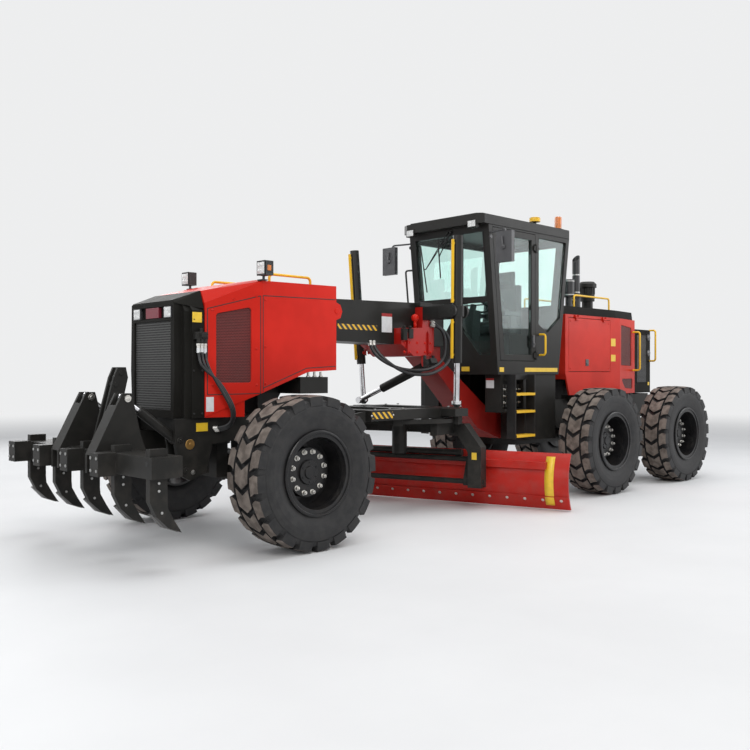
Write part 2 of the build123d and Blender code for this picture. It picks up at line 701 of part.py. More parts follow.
def ripper_arms():
    """The two arms between the nose and the cross beam, joined by a tube."""
    outline = [
        (ripper_pin_x - 40, ripper_pin_z), (ripper_pin_x - 10, ripper_pin_z - 42),
        (arm_pin_x + 10, arm_pin_z - 42), (arm_pin_x + 42, arm_pin_z),
        (arm_pin_x + 10, arm_pin_z + 42), (ripper_pin_x - 10, ripper_pin_z + 42),
    ]
    arms = both(side_plate(outline, (tower_y - 37, tower_y + 37)))
    middle = ((ripper_pin_x + arm_pin_x) / 2, (ripper_pin_z + arm_pin_z) / 2)
    arms += bar((middle[0], -tower_y, middle[1]), (middle[0], tower_y, middle[1]), 35)
    for x, z in ((ripper_pin_x, ripper_pin_z), (arm_pin_x, arm_pin_z)):
        arms -= bar((x, -600, z), (x, 600, z), 28 + running_gap)
    return arms


def ripper_cylinder(part):
    """One part of both ripper cylinders, part(base, way) for each side."""
    way = Vector(cos(cylinder_tilt), 0, sin(cylinder_tilt))
    left = part(Vector(base_pin_x, tower_y, base_pin_z), way)
    return both(left)


def ripper_barrels():
    def barrel(base, way):
        reach = Vector(0, 37, 0)
        piece = bar(base, base + way * 0.72 * cylinder_length, 42) + bar(base - reach, base + reach, 45)
        piece -= bar(base + way * 60, base + way * 700, 24 + running_gap)
        return piece - bar(base - 2 * reach, base + 2 * reach, 25 + running_gap)

    return ripper_cylinder(barrel)


def ripper_rods():
    def rod(base, way):
        apex = base + way * cylinder_length
        reach = Vector(0, 37, 0)
        return bar(base + way * 130, apex - way * 30, 24) + bar(apex - reach, apex + reach, 42)

    return ripper_cylinder(rod)


# ------------------------------------------------------------------ cab
cab_floor = (1520, 1690)
cab_front_low, cab_front_top = -3400, -3215
cab_rear_low, cab_rear_top = -4665, -4915
cab_top = 3300
roof_rim = 110                    # height of the roof's edge
roof_top = cab_top + roof_rim + 20
wall = 50
door_x = (-4150, -3470)
door_z = (1690, 3270)
door_hinge_z = (1760, 3100)


def cab_outline(grow):
    """Side outline of the cab, its walls moved out by grow."""
    return [
        (cab_front_low + grow, cab_floor[0]), (cab_front_top + grow, cab_top),
        (cab_rear_top - grow, cab_top), (cab_rear_low - grow, cab_floor[0]),
    ]


def door_outline(gap):
    """Outline of a door leaf, or of its opening when gap is negative."""
    front_low, front_top = -3450, -3292
    return [
        (front_low - gap, door_z[0] + gap), (front_top - gap, door_z[1] - gap),
        (door_x[0] + gap, door_z[1] - gap), (door_x[0] + gap, door_z[0] + gap),
    ]


def quarter_outline():
    """The side window behind the door post."""
    return [(-4230, 3240), (-4230, 2150), (-4420, 2050), (-4700, 2250), (-4840, 3240)]


def window_prisms():
    """The fixed windows as prisms: windscreen, rear window and both quarter windows."""
    front = box((-3600, -3000), (-545, 545), (2460, 3220))
    below = [(45, 2390), (550, 2390), (550, 1760), (370, 1760), (45, 2170)]     # y, z
    knees = [cross_plate([(side * y, z) for y, z in below], (-3600, -3000)) for side in (1, -1)]
    rear = box((-5200, -4500), (-480, 480), (2350, 3200))
    quarters = [side_plate(quarter_outline(), y) for y in ((400, 900), (-900, -400))]
    return [front, rear] + knees + quarters


def cab_shell():
    outer = side_plate(cab_outline(0), (-cab_half, cab_half))
    inner = side_plate([(cab_front_low - wall + 5, cab_floor[1]), (cab_front_top - wall, cab_top + 50),
                        (cab_rear_top + wall, cab_top + 50), (cab_rear_low + wall, cab_floor[1])],
                       (-cab_half + wall, cab_half - wall))
    shell = outer - inner
    for prism in window_prisms():
        shell -= prism
    for y in ((400, 900), (-900, -400)):
        shell -= side_plate(door_outline(-6), y)
    for z in door_hinge_z:
        shell += both(upright_hinge(door_x[0], cab_half + hinge_out, z, "post"))
    return shell


def cab_glass():
    """Fixed panes that fill the windows at mid-wall."""
    pane = side_plate(cab_outline(-22), (-cab_half + 22, cab_half - 22)) - side_plate(
        cab_outline(-28), (-cab_half + 28, cab_half - 28))
    panes = None
    for prism in window_prisms():
        piece = pane & prism
        panes = piece if panes is None else panes + piece
    return panes


def cab_roof():
    rim_plan = [(-3080, 560), (-3130, 650), (-4900, 650), (-4990, 560)]
    whole = rim_plan + [(x, -y) for x, y in reversed(rim_plan)]
    roof = flat_plate(whole, (cab_top, cab_top + roof_rim))
    upper = [(-3120, 530), (-3170, 590), (-4860, 590), (-4940, 530)]
    roof += flat_plate(upper + [(x, -y) for x, y in reversed(upper)], (cab_top + roof_rim, roof_top))
    for y in (-500, 500):
        roof += box((-3130, -3072), (y - 65, y + 65), (cab_top - 45, cab_top + 45))
    # beacon, and a small dome on its post
    roof += Pos(-4820, 530, roof_top + 75) * Cylinder(45, 170)
    roof += Pos(-4370, 480, roof_top + 20) * Cylinder(20, 80)
    roof += Pos(-4370, 480, roof_top + 75) * Cylinder(68, 50)
    return roof


def cab_door():
    """Left door leaf: a frame with its pane set in the opening."""
    leaf = side_plate(door_outline(0), (cab_half - wall, cab_half))
    opening = side_plate(door_outline(75), (400, 900))
    leaf -= opening
    for z in door_hinge_z:
        leaf += upright_hinge(door_x[0], cab_half + hinge_out, z, "leaf")
    pane = side_plate(door_outline(75 + seat_gap), (cab_half - 28, cab_half - 22))
    return leaf + pane


def operator_station():
    """Floor plinth with the seat, its headrest, and the steering column with its wheel."""
    base = box((-4500, -3560), (-300, 300), (cab_floor[1], cab_floor[1] + 25))
    base += box((-4250, -3950), (-160, 160), (cab_floor[1], 2080))
    base += box((-4330, -3850), (-240, 240), (2050, 2180))
    base += box((-4420, -4310), (-230, 230), (2050, 2680))
    base += box((-4420, -4330), (-130, 130), (2680, 2860))
    base += beam((-3640, 0, cab_floor[1] + 15), (-3700, 0, 2330), 160, 150)
    wheel = Pos(-3725, 0, 2400) * (Rot(0, -25, 0) * Torus(190, 14))
    base += wheel
    base += bar((-3690, 0, 2300), (-3725, 0, 2402), 40)
    base += beam((-3727, -180, 2400), (-3727, 180, 2400), 30, 14)
    return base


# ------------------------------------------------------------------ under the cab
def side_cabinets():
    """The dark base under the cab: tool boxes at both sides, valve bank and belly plates."""
    base = None
    boxes = [                                   # x, y, z pairs for the left side
        ((-4625, -3960), (250, 620), (700, cab_floor[0])),
        ((-3960, -3480), (380, 620), (1060, cab_floor[0])),
    ]
    for x, y, z in boxes:
        piece = both(box(x, y, z))
        base = piece if base is None else base + piece
    # open bays under the doors, each with a row of valve bodies
    base -= both(box((-3930, -3520), (520, 700), (1100, 1450)))
    for x in (-3900, -3825, -3750, -3675, -3600):
        base += both(box((x, x + 55), (500, 580), (1120, 1400)))
    # the cab's mount on the gooseneck, between the two sides
    return base + box((-4560, -4300), (-260, 260), (991, cab_floor[0]))


ladder_x = (-3970, -3570)
ladder_y = (640, 770)


def access_rails():
    """Yellow steps, the grab handle behind each door and the rails on the front hood's roof."""
    left = None
    for x in (ladder_x[0], ladder_x[1] - 12):
        stringer = side_plate([(x, cab_floor[0]), (x + 12, cab_floor[0]), (x + 12, 740), (x, 740)], ladder_y)
        left = stringer if left is None else left + stringer
    for z in (1285, 1075, 780):
        left += box((ladder_x[0] + 12, ladder_x[1] - 12), (ladder_y[0] + 10, ladder_y[1] + 10), (z - 18, z + 12))
    left += box(ladder_x, (620 + seat_gap, ladder_y[0] + 20), (cab_floor[0] - 60, cab_floor[0]))
    wall_y = cab_half + seat_gap
    handle = pipe([(-4245, wall_y, 2025), (-4245, wall_y + 90, 2025), (-4245, wall_y + 90, 1765),
                   (-4245, wall_y, 1765)], 35, 13)
    rail = pipe([(-120, 480, 2387.6), (-120, 480, 2470), (-620, 480, 2470), (-620, 480, 2393.7)], 40, 13)
    return both(left) + both(handle) + both(rail)


def mirrors():
    """Mirror heads on tube arms at the front corners of the cab."""
    out = cab_half + 275
    arm = pipe([(-3245, cab_half + seat_gap, 3200), (-3245, cab_half + 60, 3200), (-3190, out, 3200),
                (-3150, out, 3100)], 30, 11)
    head = box((-3180, -3125), (out - 95, out + 128), (2815, 3168))
    return both(arm + head)


# ------------------------------------------------------------------ rear body
tail_bolt_y, tail_bolt_z = 400, 200          # bolt spacing of the tail plate
tail_bolt_mid, tail_bolt_radius = 1065, 12


def rear_frame():
    """Rear chassis rails, the hinge lugs in front and the tail plate."""
    rail = side_plate([(-4930, 1180), (-7450, 1230), (-7450, 900), (-6500, 800), (-5400, 760),
                       (-4930, 820)], (300, 400))
    frame = both(rail)
    frame += box((-5080, -4930), (-300, 300), (690, 1180))
    # tail plate with four bolt holes for a rear attachment
    frame += box((-7450, -7400), (-300, 300), (900, 1230))
    for y in (-tail_bolt_y / 2, tail_bolt_y / 2):
        for z in (tail_bolt_mid - tail_bolt_z / 2, tail_bolt_mid + tail_bolt_z / 2):
            frame -= bar((-7500, y, z), (-7350, y, z), tail_bolt_radius)
    frame += box((-5400, -5080), (-300, 300), (760, 800))
    hinge = [(-4930, 170), (articulation_x, 120), (articulation_x + 80, 50),
             (articulation_x + 80, -50), (articulation_x, -120), (-4930, -170)]
    for z in ((700, 750), (1000, 1050)):
        frame += flat_plate(hinge, z)
    frame += bar((articulation_x, 0, 690), (articulation_x, 0, 1060), 50)
    # brackets under the hood's walls and the engine's bearers
    for x in (-5300, -6250):
        frame += both(box((x, x + 60), (300, rear_hood_half - 5), (1150, 1240 - seat_gap)))
    frame += both(box((-6950, -6890), (340, 415), (1150, 1240 - seat_gap)))
    for x in (-5500, -6200):
        frame += box((x, x + 100), (-300, 300), (1100, 1180 - seat_gap))
    # cradle that bolts down on the rear axle
    frame += both(box((tandem_x - 180, tandem_x + 180), (300, 480), (785, 815)))
    return frame


def rear_axle():
    """The transverse axle housing with the trunnions that the tandem cases rock on."""
    housing = bar((tandem_x, -590, axle_z), (tandem_x, 590, axle_z), 105)
    housing += Pos(tandem_x, 0, axle_z) * Sphere(190)
    housing += both(bar((tandem_x, 560, axle_z), (tandem_x, 800, axle_z), 80))
    return housing


def tandem_case():
    """Left tandem case with the stub axles of its two wheels."""
    low, high = axle_z - 190, axle_z + 190
    case = [                                    # x, z
        (tandem_x + tandem_half + 80, axle_z - 150), (tandem_x + tandem_half + 120, axle_z),
        (tandem_x + tandem_half + 80, axle_z + 150), (tandem_x + 500, high), (tandem_x - 500, high),
        (tandem_x - tandem_half - 80, axle_z + 150), (tandem_x - tandem_half - 120, axle_z),
        (tandem_x - tandem_half - 80, axle_z - 150), (tandem_x - 500, low), (tandem_x + 500, low),
    ]
    body = side_plate(case, (620, 835))
    for x in (tandem_x - tandem_half, tandem_x + tandem_half):
        body += bar((x, 830, axle_z), (x, rear_wheel_y - stub_end, axle_z), axle_radius)
    return body - bar((tandem_x, 500, axle_z), (tandem_x, 805, axle_z), 80 + running_gap)


hood_front_x, hood_knee_x, hood_red_rear_x, tail_x = -5030, -6440, -7040, -7580
engine_door_x = (-6165, -5115)
engine_door_z = (1560, 2285)
engine_hinge_x = (-6000, -5300)


def engine_hood():
    """The red rear hood: front bulkhead, side frames round the doors, and angled rear panels."""
    plan = [(hood_front_x, rear_hood_half), (hood_knee_x, rear_hood_half), (hood_red_rear_x, 405)]
    inner_plan = [(hood_front_x - 30, rear_hood_half - 25), (hood_knee_x, rear_hood_half - 25),
                  (hood_red_rear_x - 10, 380)]
    whole = plan + [(x, -y) for x, y in reversed(plan)]
    hollow = inner_plan + [(x, -y) for x, y in reversed(inner_plan)]
    shell = flat_plate(whole, (1240, 2330)) - flat_plate(hollow, (1000, 2500))
    gap = 7
    for y in ((300, 700), (-700, -300)):
        shell -= box((engine_door_x[0] - gap, engine_door_x[1] + gap), y,
                     (engine_door_z[0] - gap, engine_door_z[1] + gap))
    # wheel clearance: the lower front of the side panels slants up
    cut = side_plate([(-4900, 1000), (-4900, 1540), (-5030, 1540), (-5130, 1240), (-5130, 1000)],
                     (-1000, 1000))
    shell -= cut
    for x in engine_hinge_x:
        shell += both(level_hinge(x, rear_hood_half + hinge_out, engine_door_z[1] + gap, "frame"))
    # recesses of the mesh window and the lower vent in each angled panel
    for outline in ([(45, 1650), (45, 2240), (465, 2212), (465, 1645)],
                    [(205, 1318), (45, 1455), (510, 1455), (510, 1300)]):
        shell -= both(panel_recess(plan[1], plan[2], outline, 25))
    return shell


def engine_door():
    """Left engine door, a plain pressed panel hinged along its top."""
    door = box(engine_door_x, (rear_hood_half - 25, rear_hood_half), engine_door_z)
    for x in engine_hinge_x:
        door += level_hinge(x, rear_hood_half + hinge_out, engine_door_z[1] + 7, "leaf")
    return door


def tail_cowl():
    """The dark top of the rear hood and the tail box with its open grille."""
    top_plan = [(hood_front_x, 430), (hood_knee_x, 430), (hood_red_rear_x, 350)]
    top = flat_plate(top_plan + [(x, -y) for x, y in reversed(top_plan)], (2330, 2450))
    inner_plan = [(hood_front_x - 25, 405), (hood_knee_x, 405), (hood_red_rear_x, 325)]
    top -= flat_plate(inner_plan + [(x, -y) for x, y in reversed(inner_plan)], (2300, 2425))
    plan = [(hood_red_rear_x, 400), (tail_x + 60, 400), (tail_x, 340)]
    whole = plan + [(x, -y) for x, y in reversed(plan)]
    tail = flat_plate(whole, (1240, 2200))
    tail -= box((tail_x + 40, hood_red_rear_x + 10), (-370, 370), (1100, 2170))
    tail -= box((tail_x - 10, tail_x + 50), (-300, 300), (1320, 2100))
    count = 11
    for row in range(count):
        z = 1360 + row * 700 / (count - 1)
        tail += box((tail_x + 12, tail_x + 30), (-300, 300), (z - 8, z + 8))
    ramp = side_plate([(hood_red_rear_x + 60, 2330), (hood_red_rear_x, 2330), (hood_red_rear_x, 2200),
                       (hood_red_rear_x - 60, 2200), (hood_red_rear_x, 2450), (hood_red_rear_x + 60, 2450)],
                      (-350, 350))
    return top + tail + ramp


stack_x, stack_y = -5607, 300
cleaner_x, cleaner_y = -6330, 30
hood_top = 2450


def exhaust_stack():
    """Muffler on the hood with a tail pipe whose mouth is cut on the slant."""
    base = hood_top + seat_gap
    muffler = bar((stack_x, stack_y, base), (stack_x, stack_y, 2640), 62)
    can_x = stack_x + 187
    muffler += bar((can_x, stack_y, 2590), (can_x, stack_y, 2830), 80)
    muffler += bar((can_x, stack_y, base), (can_x, stack_y, 2600), 45)
    muffler += bar((can_x, stack_y, 2550), (stack_x, stack_y, 2550), 35)
    pipe_up = bar((stack_x, stack_y, 2640), (stack_x, stack_y, 3200), 52) - bar(
        (stack_x, stack_y, 2760), (stack_x, stack_y, 3300), 46)
    slant = Pos(stack_x, stack_y, 3140) * Rot(0, 45, 0) * Pos(0, 0, 150) * Box(300, 300, 300)
    return muffler + pipe_up - slant


def air_cleaner():
    """Round intake cap on its neck."""
    base = hood_top + seat_gap
    body = bar((cleaner_x, cleaner_y, base), (cleaner_x, cleaner_y, 2620), 80)
    body += bar((cleaner_x, cleaner_y, 2600), (cleaner_x, cleaner_y, 2810), 105)
    cap = bar((cleaner_x, cleaner_y, 2800), (cleaner_x, cleaner_y, 2885), 133)
    return body + chamfer(cap.edges().group_by(Axis.Z)[-1], 35)


def engine_block():
    """The engine as one plain block."""
    return box((-6300, -5300), (-285, 285), (1180, 2050))


def tail_rails():
    """Yellow upright grab rails: beside the engine doors and at the tail's corners."""
    rails = None
    slope = (rear_hood_half - 405) / (hood_knee_x - hood_red_rear_x)        # of the angled panel in plan
    for x, y, lean, low, high, out in (
        (-6955, rear_hood_half - (hood_knee_x + 6955) * slope, slope, 1580, 2150, 110),
        (-7500, 400, 0, 1725, 2195, 100),
    ):
        away = Vector(-lean, 1, 0).normalized()
        foot = Vector(x, y, 0) + away * seat_gap
        bar_at = foot + away * out
        rail = pipe([(foot.X, foot.Y, high), (bar_at.X, bar_at.Y, high), (bar_at.X, bar_at.Y, low),
                     (foot.X, foot.Y, low)], 35, 14)
        rails = rail if rails is None else rails + rail
    top = hood_top + seat_gap
    rails += pipe([(-5380, 412, top), (-5380, 412, 2610), (-6290, 412, 2610), (-6290, 412, top)], 40, 13)
    return both(rails)


# ------------------------------------------------------------------ write the pieces
def write(name, shape):
    solid = Pos(middle_x, 0, 0) * shape
    export_step(solid, f"parts/{name}.step")


def main():
    os.makedirs("parts", exist_ok=True)
    one_tyre, one_rim = tyre(), rim()
    for name, x, y in (
        ("front_left", 0, front_wheel_y), ("front_right", 0, -front_wheel_y),
        ("mid_left", tandem_x + tandem_half, rear_wheel_y),
        ("mid_right", tandem_x + tandem_half, -rear_wheel_y),
        ("rear_left", tandem_x - tandem_half, rear_wheel_y),
        ("rear_right", tandem_x - tandem_half, -rear_wheel_y),
    ):
        write(f"{name}_tyre", place_wheel(one_tyre, x, y))
        write(f"{name}_rim", place_wheel(one_rim, x, y))
    for name, maker in (
        ("lean_head", lean_head), ("knuckle", knuckle), ("tandem_case", tandem_case),
        ("cab_door", cab_door), ("engine_door", engine_door), ("lift_barrel", lift_barrel),
        ("lift_rod", lift_rod),
    ):
        left = maker()
        write(f"{name}_left", left)
        write(f"{name}_right", other_side(left))
    for maker in (
        front_axle, front_frame, gooseneck, saddle, front_hood, nose_cowl, front_lamps,
        drawbar_ball, drawbar, circle, blade_carrier, moldboard, centre_shift_knuckle,
        centre_shift_barrel, centre_shift_rod, ripper, ripper_arms, ripper_barrels, ripper_rods,
        cab_shell, cab_glass, cab_roof, operator_station, side_cabinets, access_rails, mirrors, rear_frame, rear_axle,
        engine_hood, tail_cowl, exhaust_stack, air_cleaner, engine_block, tail_rails,
    ):
        write(maker.__name__, maker())


main()
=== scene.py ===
"""Finishes, tread, lamps, glass, trim and studio for the motor grader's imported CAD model.

Metres. X is forward, Y to the machine's left, Z up from the ground, as in the CAD model.
"""

import json
from math import atan2, cos, pi, radians, sin

import bmesh
import bpy
from mathutils import Matrix, Vector

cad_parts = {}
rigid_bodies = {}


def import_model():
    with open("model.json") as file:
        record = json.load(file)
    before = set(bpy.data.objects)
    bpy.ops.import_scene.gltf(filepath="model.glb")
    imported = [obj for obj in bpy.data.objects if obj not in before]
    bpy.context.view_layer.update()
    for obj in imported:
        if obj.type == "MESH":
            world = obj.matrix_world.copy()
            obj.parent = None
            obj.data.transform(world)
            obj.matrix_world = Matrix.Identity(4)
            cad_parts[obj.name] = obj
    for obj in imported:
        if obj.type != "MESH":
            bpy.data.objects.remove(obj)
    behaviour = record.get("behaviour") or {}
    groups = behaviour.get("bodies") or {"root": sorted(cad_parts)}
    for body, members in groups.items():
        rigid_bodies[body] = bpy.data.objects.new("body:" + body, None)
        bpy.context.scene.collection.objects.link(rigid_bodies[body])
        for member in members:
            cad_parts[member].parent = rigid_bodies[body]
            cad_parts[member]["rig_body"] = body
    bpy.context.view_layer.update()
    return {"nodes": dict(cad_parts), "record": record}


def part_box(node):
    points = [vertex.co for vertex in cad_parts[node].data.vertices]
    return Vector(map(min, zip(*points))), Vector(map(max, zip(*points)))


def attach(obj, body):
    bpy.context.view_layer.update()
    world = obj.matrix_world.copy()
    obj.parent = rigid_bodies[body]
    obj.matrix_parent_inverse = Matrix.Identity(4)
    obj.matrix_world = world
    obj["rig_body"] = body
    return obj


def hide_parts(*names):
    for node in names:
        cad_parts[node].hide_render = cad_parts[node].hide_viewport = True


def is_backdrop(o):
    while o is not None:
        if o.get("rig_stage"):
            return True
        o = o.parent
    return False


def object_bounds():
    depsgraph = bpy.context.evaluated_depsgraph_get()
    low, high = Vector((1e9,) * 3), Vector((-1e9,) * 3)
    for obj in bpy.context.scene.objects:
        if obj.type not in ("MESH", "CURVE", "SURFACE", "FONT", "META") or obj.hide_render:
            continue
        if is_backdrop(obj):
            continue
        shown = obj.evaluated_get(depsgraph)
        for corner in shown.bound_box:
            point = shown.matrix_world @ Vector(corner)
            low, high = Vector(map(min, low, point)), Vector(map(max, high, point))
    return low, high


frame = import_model()
nodes = frame["nodes"]


# ---------------- shader values
def arithmetic(operation, swapped=False):
    """A method for an operator, which adds its Math node."""
    return lambda self, other: self.maths(operation, *((other, self) if swapped else (self, other)))


class Wire:
    """A socket of a shader tree, with arithmetic that adds Math nodes."""

    def __init__(self, tree, socket):
        self.tree, self.socket = tree, socket

    def node(self, kind, settings=None, values=None, output=0):
        """Adds a node: its settings first, then values or links of its sockets."""
        made = self.tree.nodes.new("ShaderNode" + kind)
        for name, value in (settings or {}).items():
            setattr(made, name, value)
        for name, value in (values or {}).items():
            socket = made.inputs[name]
            if isinstance(value, Wire):
                self.tree.links.new(value.socket, socket)
            else:
                socket.default_value = value
        return Wire(self.tree, made.outputs[output])

    def maths(self, operation, *values, clamp=False):
        settings = {"operation": operation, "use_clamp": clamp}
        return self.node("Math", settings, dict(enumerate(values)))

    __add__ = __radd__ = arithmetic("ADD")
    __mul__ = __rmul__ = arithmetic("MULTIPLY")
    __sub__, __rsub__ = arithmetic("SUBTRACT"), arithmetic("SUBTRACT", swapped=True)

    def abs(self):
        return self.maths("ABSOLUTE", self)

    def fraction(self):
        return self.maths("FRACT", self)

    def clamp(self):
        return self.maths("ADD", self, 0.0, clamp=True)

    def above(self, low, high):
        """0 below low, 1 above high, smooth between."""
        settings = {"interpolation_type": "SMOOTHSTEP"}
        return self.node("MapRange", settings, {"Value": self, "From Min": low, "From Max": high})

    def mix(self, first, second):
        """A colour between two, this value being the share of the second."""
        values = {"Factor": self, 6: first, 7: second}
        return self.node("Mix", {"data_type": "RGBA"}, values, output=2)

    def noise(self, scale, detail=3.0, roughness=0.55):
        values = {"Vector": self, "Scale": scale, "Detail": detail, "Roughness": roughness}
        return self.node("TexNoise", None, values)

    def axis(self, name):
        """X, Y or Z of a vector."""
        return self.node("SeparateXYZ", None, {0: self}, output=name)

    def rounded(self, radius):
        """The surface's normal with its edges softened."""
        return self.node("Bevel", {"samples": 4}, {"Radius": radius})


def rgba(colour, share=1.0, lift=0.0):
    return tuple(min(1.0, c * share + lift) for c in colour) + (1.0,)


def blotched(patch, colour, deep, light=1.0):
    """A colour that varies with a noise between two shares of itself."""
    return patch.above(0.3, 0.7).mix(rgba(colour, deep), rgba(colour, light))


def new_material(name, **constants):
    """A material with its shader; returns it, the shader's node and the place on the object."""
    material = bpy.data.materials.new(name)
    material.use_nodes = True
    tree = material.node_tree
    shader = tree.nodes["Principled BSDF"]
    for socket, value in constants.items():
        shader.inputs[socket.replace("_", " ")].default_value = value
    place = Wire(tree, None).node("TexCoord", output="Object")
    return material, shader, place


def feed(shader, **sockets):
    """Links values into a shader's sockets."""
    for name, wire in sockets.items():
        wire.tree.links.new(wire.socket, shader.inputs[name.replace("_", " ")])


def feed_bump(shader, strength, distance, height, normal=None, **settings):
    """Small relief from a height, over a normal that is rounded already."""
    values = {"Strength": strength, "Distance": distance, "Height": height}
    if normal is not None:
        values["Normal"] = normal
    feed(shader, Normal=height.node("Bump", settings, values))


def painted(name, colour, rough=0.36, coat=0.12, edge=0.006, dust=0.16, shine=0.2, second=None, zone=None):
    """Sprayed steel: softened edges, orange peel, faint mottling, and dust low down.

    zone(place) gives 1 where the second colour is sprayed instead.
    """
    material, shader, place = new_material(name, Coat_Roughness=0.12, Specular_IOR_Level=shine)
    mottle = place.noise(1.7)
    patch = place.noise(9.0, 4.0)
    speckle = place.noise(240.0, 2.0)
    rounded = place.rounded(edge)
    flat = place.node("NewGeometry", output="Normal")
    turned = place.node("VectorMath", {"operation": "DOT_PRODUCT"}, {0: rounded, 1: flat}, output="Value")
    worn = (1.0 - turned).above(0.01, 0.14) * patch.above(0.45, 0.62)
    dusty = (1.0 - place.axis("Z").above(0.1, 1.5)) * patch.above(0.35, 0.75) * dust

    def coat_of(colour):
        sprayed = mottle.above(0.35, 0.65).mix(rgba(colour, 0.9), rgba(colour, 1.07, 0.002))
        return (worn * 0.5).mix(sprayed, rgba(colour, 1.15, 0.035))

    base = coat_of(colour)
    if zone:
        base = zone(place).mix(base, coat_of(second))
    base = dusty.mix(base, (0.16, 0.135, 0.115, 1.0))
    feed(shader, Base_Color=base, Roughness=(patch * 0.14 + (rough - 0.07) + dusty * 0.5).clamp(),
         Coat_Weight=(1.0 - dusty * 1.6).clamp() * coat)
    feed_bump(shader, 0.25, 0.002, speckle * 0.02 + mottle * 0.1, rounded)
    return material


def metal(name, colour, rough=0.3, scratch=0.2):
    """Bare metal: fine streaks, blotches and rounded edges."""
    material, shader, place = new_material(name, Metallic=1.0)
    patch = place.noise(14.0, 4.0)
    stretched = place.node("Mapping", None, {"Vector": place, "Scale": (30, 30, 400)})
    streak = place.node("TexNoise", None, {"Vector": stretched, "Scale": 1.0, "Detail": 3.0})
    feed(shader, Base_Color=blotched(patch, colour, 0.8),
         Roughness=(patch * scratch + rough - scratch * 0.5).clamp())
    feed_bump(shader, 0.1, 0.001, streak, place.rounded(0.003))
    return material


def moulded(name, colour, rough=0.5, grain=300.0, spread=0.12):
    """Moulded plastic or rubber trim with a fine grain."""
    material, shader, place = new_material(name)
    patch = place.noise(6.0)
    feed(shader, Base_Color=blotched(patch, colour, 1 - spread, 1 + spread),
         Roughness=(patch * 0.2 + rough - 0.1).clamp())
    feed_bump(shader, 0.35, 0.001, place.noise(grain, 2.0), place.rounded(0.004))
    return material


def tyre_rubber():
    """Rubber with dusty brown wear on the tread's outer faces."""
    material, shader, place = new_material("tyre_rubber", Specular_IOR_Level=0.3)
    worn = place.node("Attribute", {"attribute_name": "worn"}, output="Fac")
    patch = place.noise(11.0, 5.0)
    fine = place.noise(160.0, 3.0)
    clean = patch.above(0.3, 0.7).mix((0.016, 0.016, 0.017, 1), (0.030, 0.029, 0.029, 1))
    scuffed = patch.above(0.35, 0.65).mix((0.13, 0.106, 0.090, 1), (0.25, 0.208, 0.178, 1))
    feed(shader, Base_Color=(worn * (0.6 + 0.4 * fine)).clamp().mix(clean, scuffed),
         Roughness=(patch * 0.25 + 0.42 + worn * 0.2).clamp())
    feed_bump(shader, 0.3, 0.002, fine + patch, place.rounded(0.006))
    return material


def tinted_glass():
    """Green-tinted panes that let the light through."""
    material, shader, place = new_material("tinted_glass", Roughness=0.02, IOR=1.3, Transmission_Weight=1.0,
                                           Specular_IOR_Level=0.2)
    smear = place.noise(3.0, 2.0)
    feed(shader, Base_Color=smear.above(0.2, 0.8).mix((0.78, 0.95, 0.91, 1), (0.83, 0.97, 0.94, 1)))
    return material


def lamp_glass(name, colour, glow=0.0):
    """A ribbed lens over a bright reflector."""
    material, shader, place = new_material(name, Coat_Weight=1.0, Coat_Roughness=0.05, Emission_Strength=glow,
                                           Emission_Color=rgba(colour))
    ribs = place.node("TexWave", {"wave_type": "BANDS", "bands_direction": "Y"},
                      {"Vector": place, "Scale": 14.0, "Distortion": 0.0})
    cells = place.node("TexVoronoi", None, {"Vector": place, "Scale": 60.0})
    feed(shader, Base_Color=(cells * 1.3).clamp().mix(rgba(colour), rgba(colour, 0.55)),
         Roughness=ribs * 0.2 + 0.12)
    feed_bump(shader, 0.5, 0.002, ribs)
    return material


def screen(name, wire, behind, pitch, across="Y"):
    """Woven or punched sheet: small dark holes in rows, seen as a fine mesh. The sheet is solid: its holes
    take the colour behind, a painted shade of the space behind it.
    """
    material, shader, place = new_material(name)
    half_width, half_height, blur_x, blur_z = 0.42, 0.294, 0.08, 0.06      # of a hole, in pitches
    level = place.axis(across) * (1.0 / pitch)
    upright = place.axis("Z") * (1.0 / pitch)
    staggered = level + upright.maths("FLOOR", upright) * 0.5
    hole_x = (staggered.fraction() - 0.5).abs()
    hole_z = (upright.fraction() - 0.5).abs()
    hole = ((1.0 - hole_x.above(half_width - blur_x, half_width))
            * (1.0 - hole_z.above(half_height - blur_z, half_height)))
    patch = place.noise(5.0, 3.0)
    # the holes get the colour behind: painted shade
    feed(shader, Base_Color=hole.mix(blotched(patch, wire, 0.8), rgba(behind)),
         Roughness=(hole * 0.4 + patch * 0.1 + 0.4).clamp())
    feed_bump(shader, 0.6, 0.003, hole, invert=True)
    return material


def striped(name, light, dark, pitch, lean):
    """Warning stripes that slant over a plate whose long side runs along X."""
    material, shader, place = new_material(name)
    turns = (place.axis("X") + place.axis("Z") * lean) * (1.0 / pitch)
    stripe = turns.fraction().above(0.42, 0.45)
    patch = place.noise(12.0, 3.0)
    base = stripe.mix(rgba(light), rgba(dark))
    base = (patch.above(0.55, 0.8) * 0.25).mix(base, (0.1, 0.09, 0.08, 1))
    feed(shader, Base_Color=base, Roughness=patch * 0.2 + 0.3)
    return material


def decal(name, colour, head=None, head_z=0.0):
    """A blank sticker, with a band of a second colour above a height."""
    material, shader, place = new_material(name, Coat_Weight=0.2)
    patch = place.noise(20.0, 3.0)
    base = blotched(patch, colour, 0.9)
    if head:
        base = place.axis("Z").above(head_z - 0.001, head_z + 0.001).mix(base, rgba(head))
    feed(shader, Base_Color=base, Roughness=patch * 0.15 + 0.35)
    return material


def guard_zone(place):
    """The guard tube in front of a lift cylinder, apart from its collar."""
    eye_x, eye_z, slope = 0.452, 1.18, 0.0417      # the rod's eye, and how the cylinder leans
    ahead = place.axis("X") - (place.axis("Z") - eye_z) * slope - eye_x
    return ahead.above(0.062, 0.066) * (place.axis("Z") - 2.221).abs().above(0.088, 0.09)


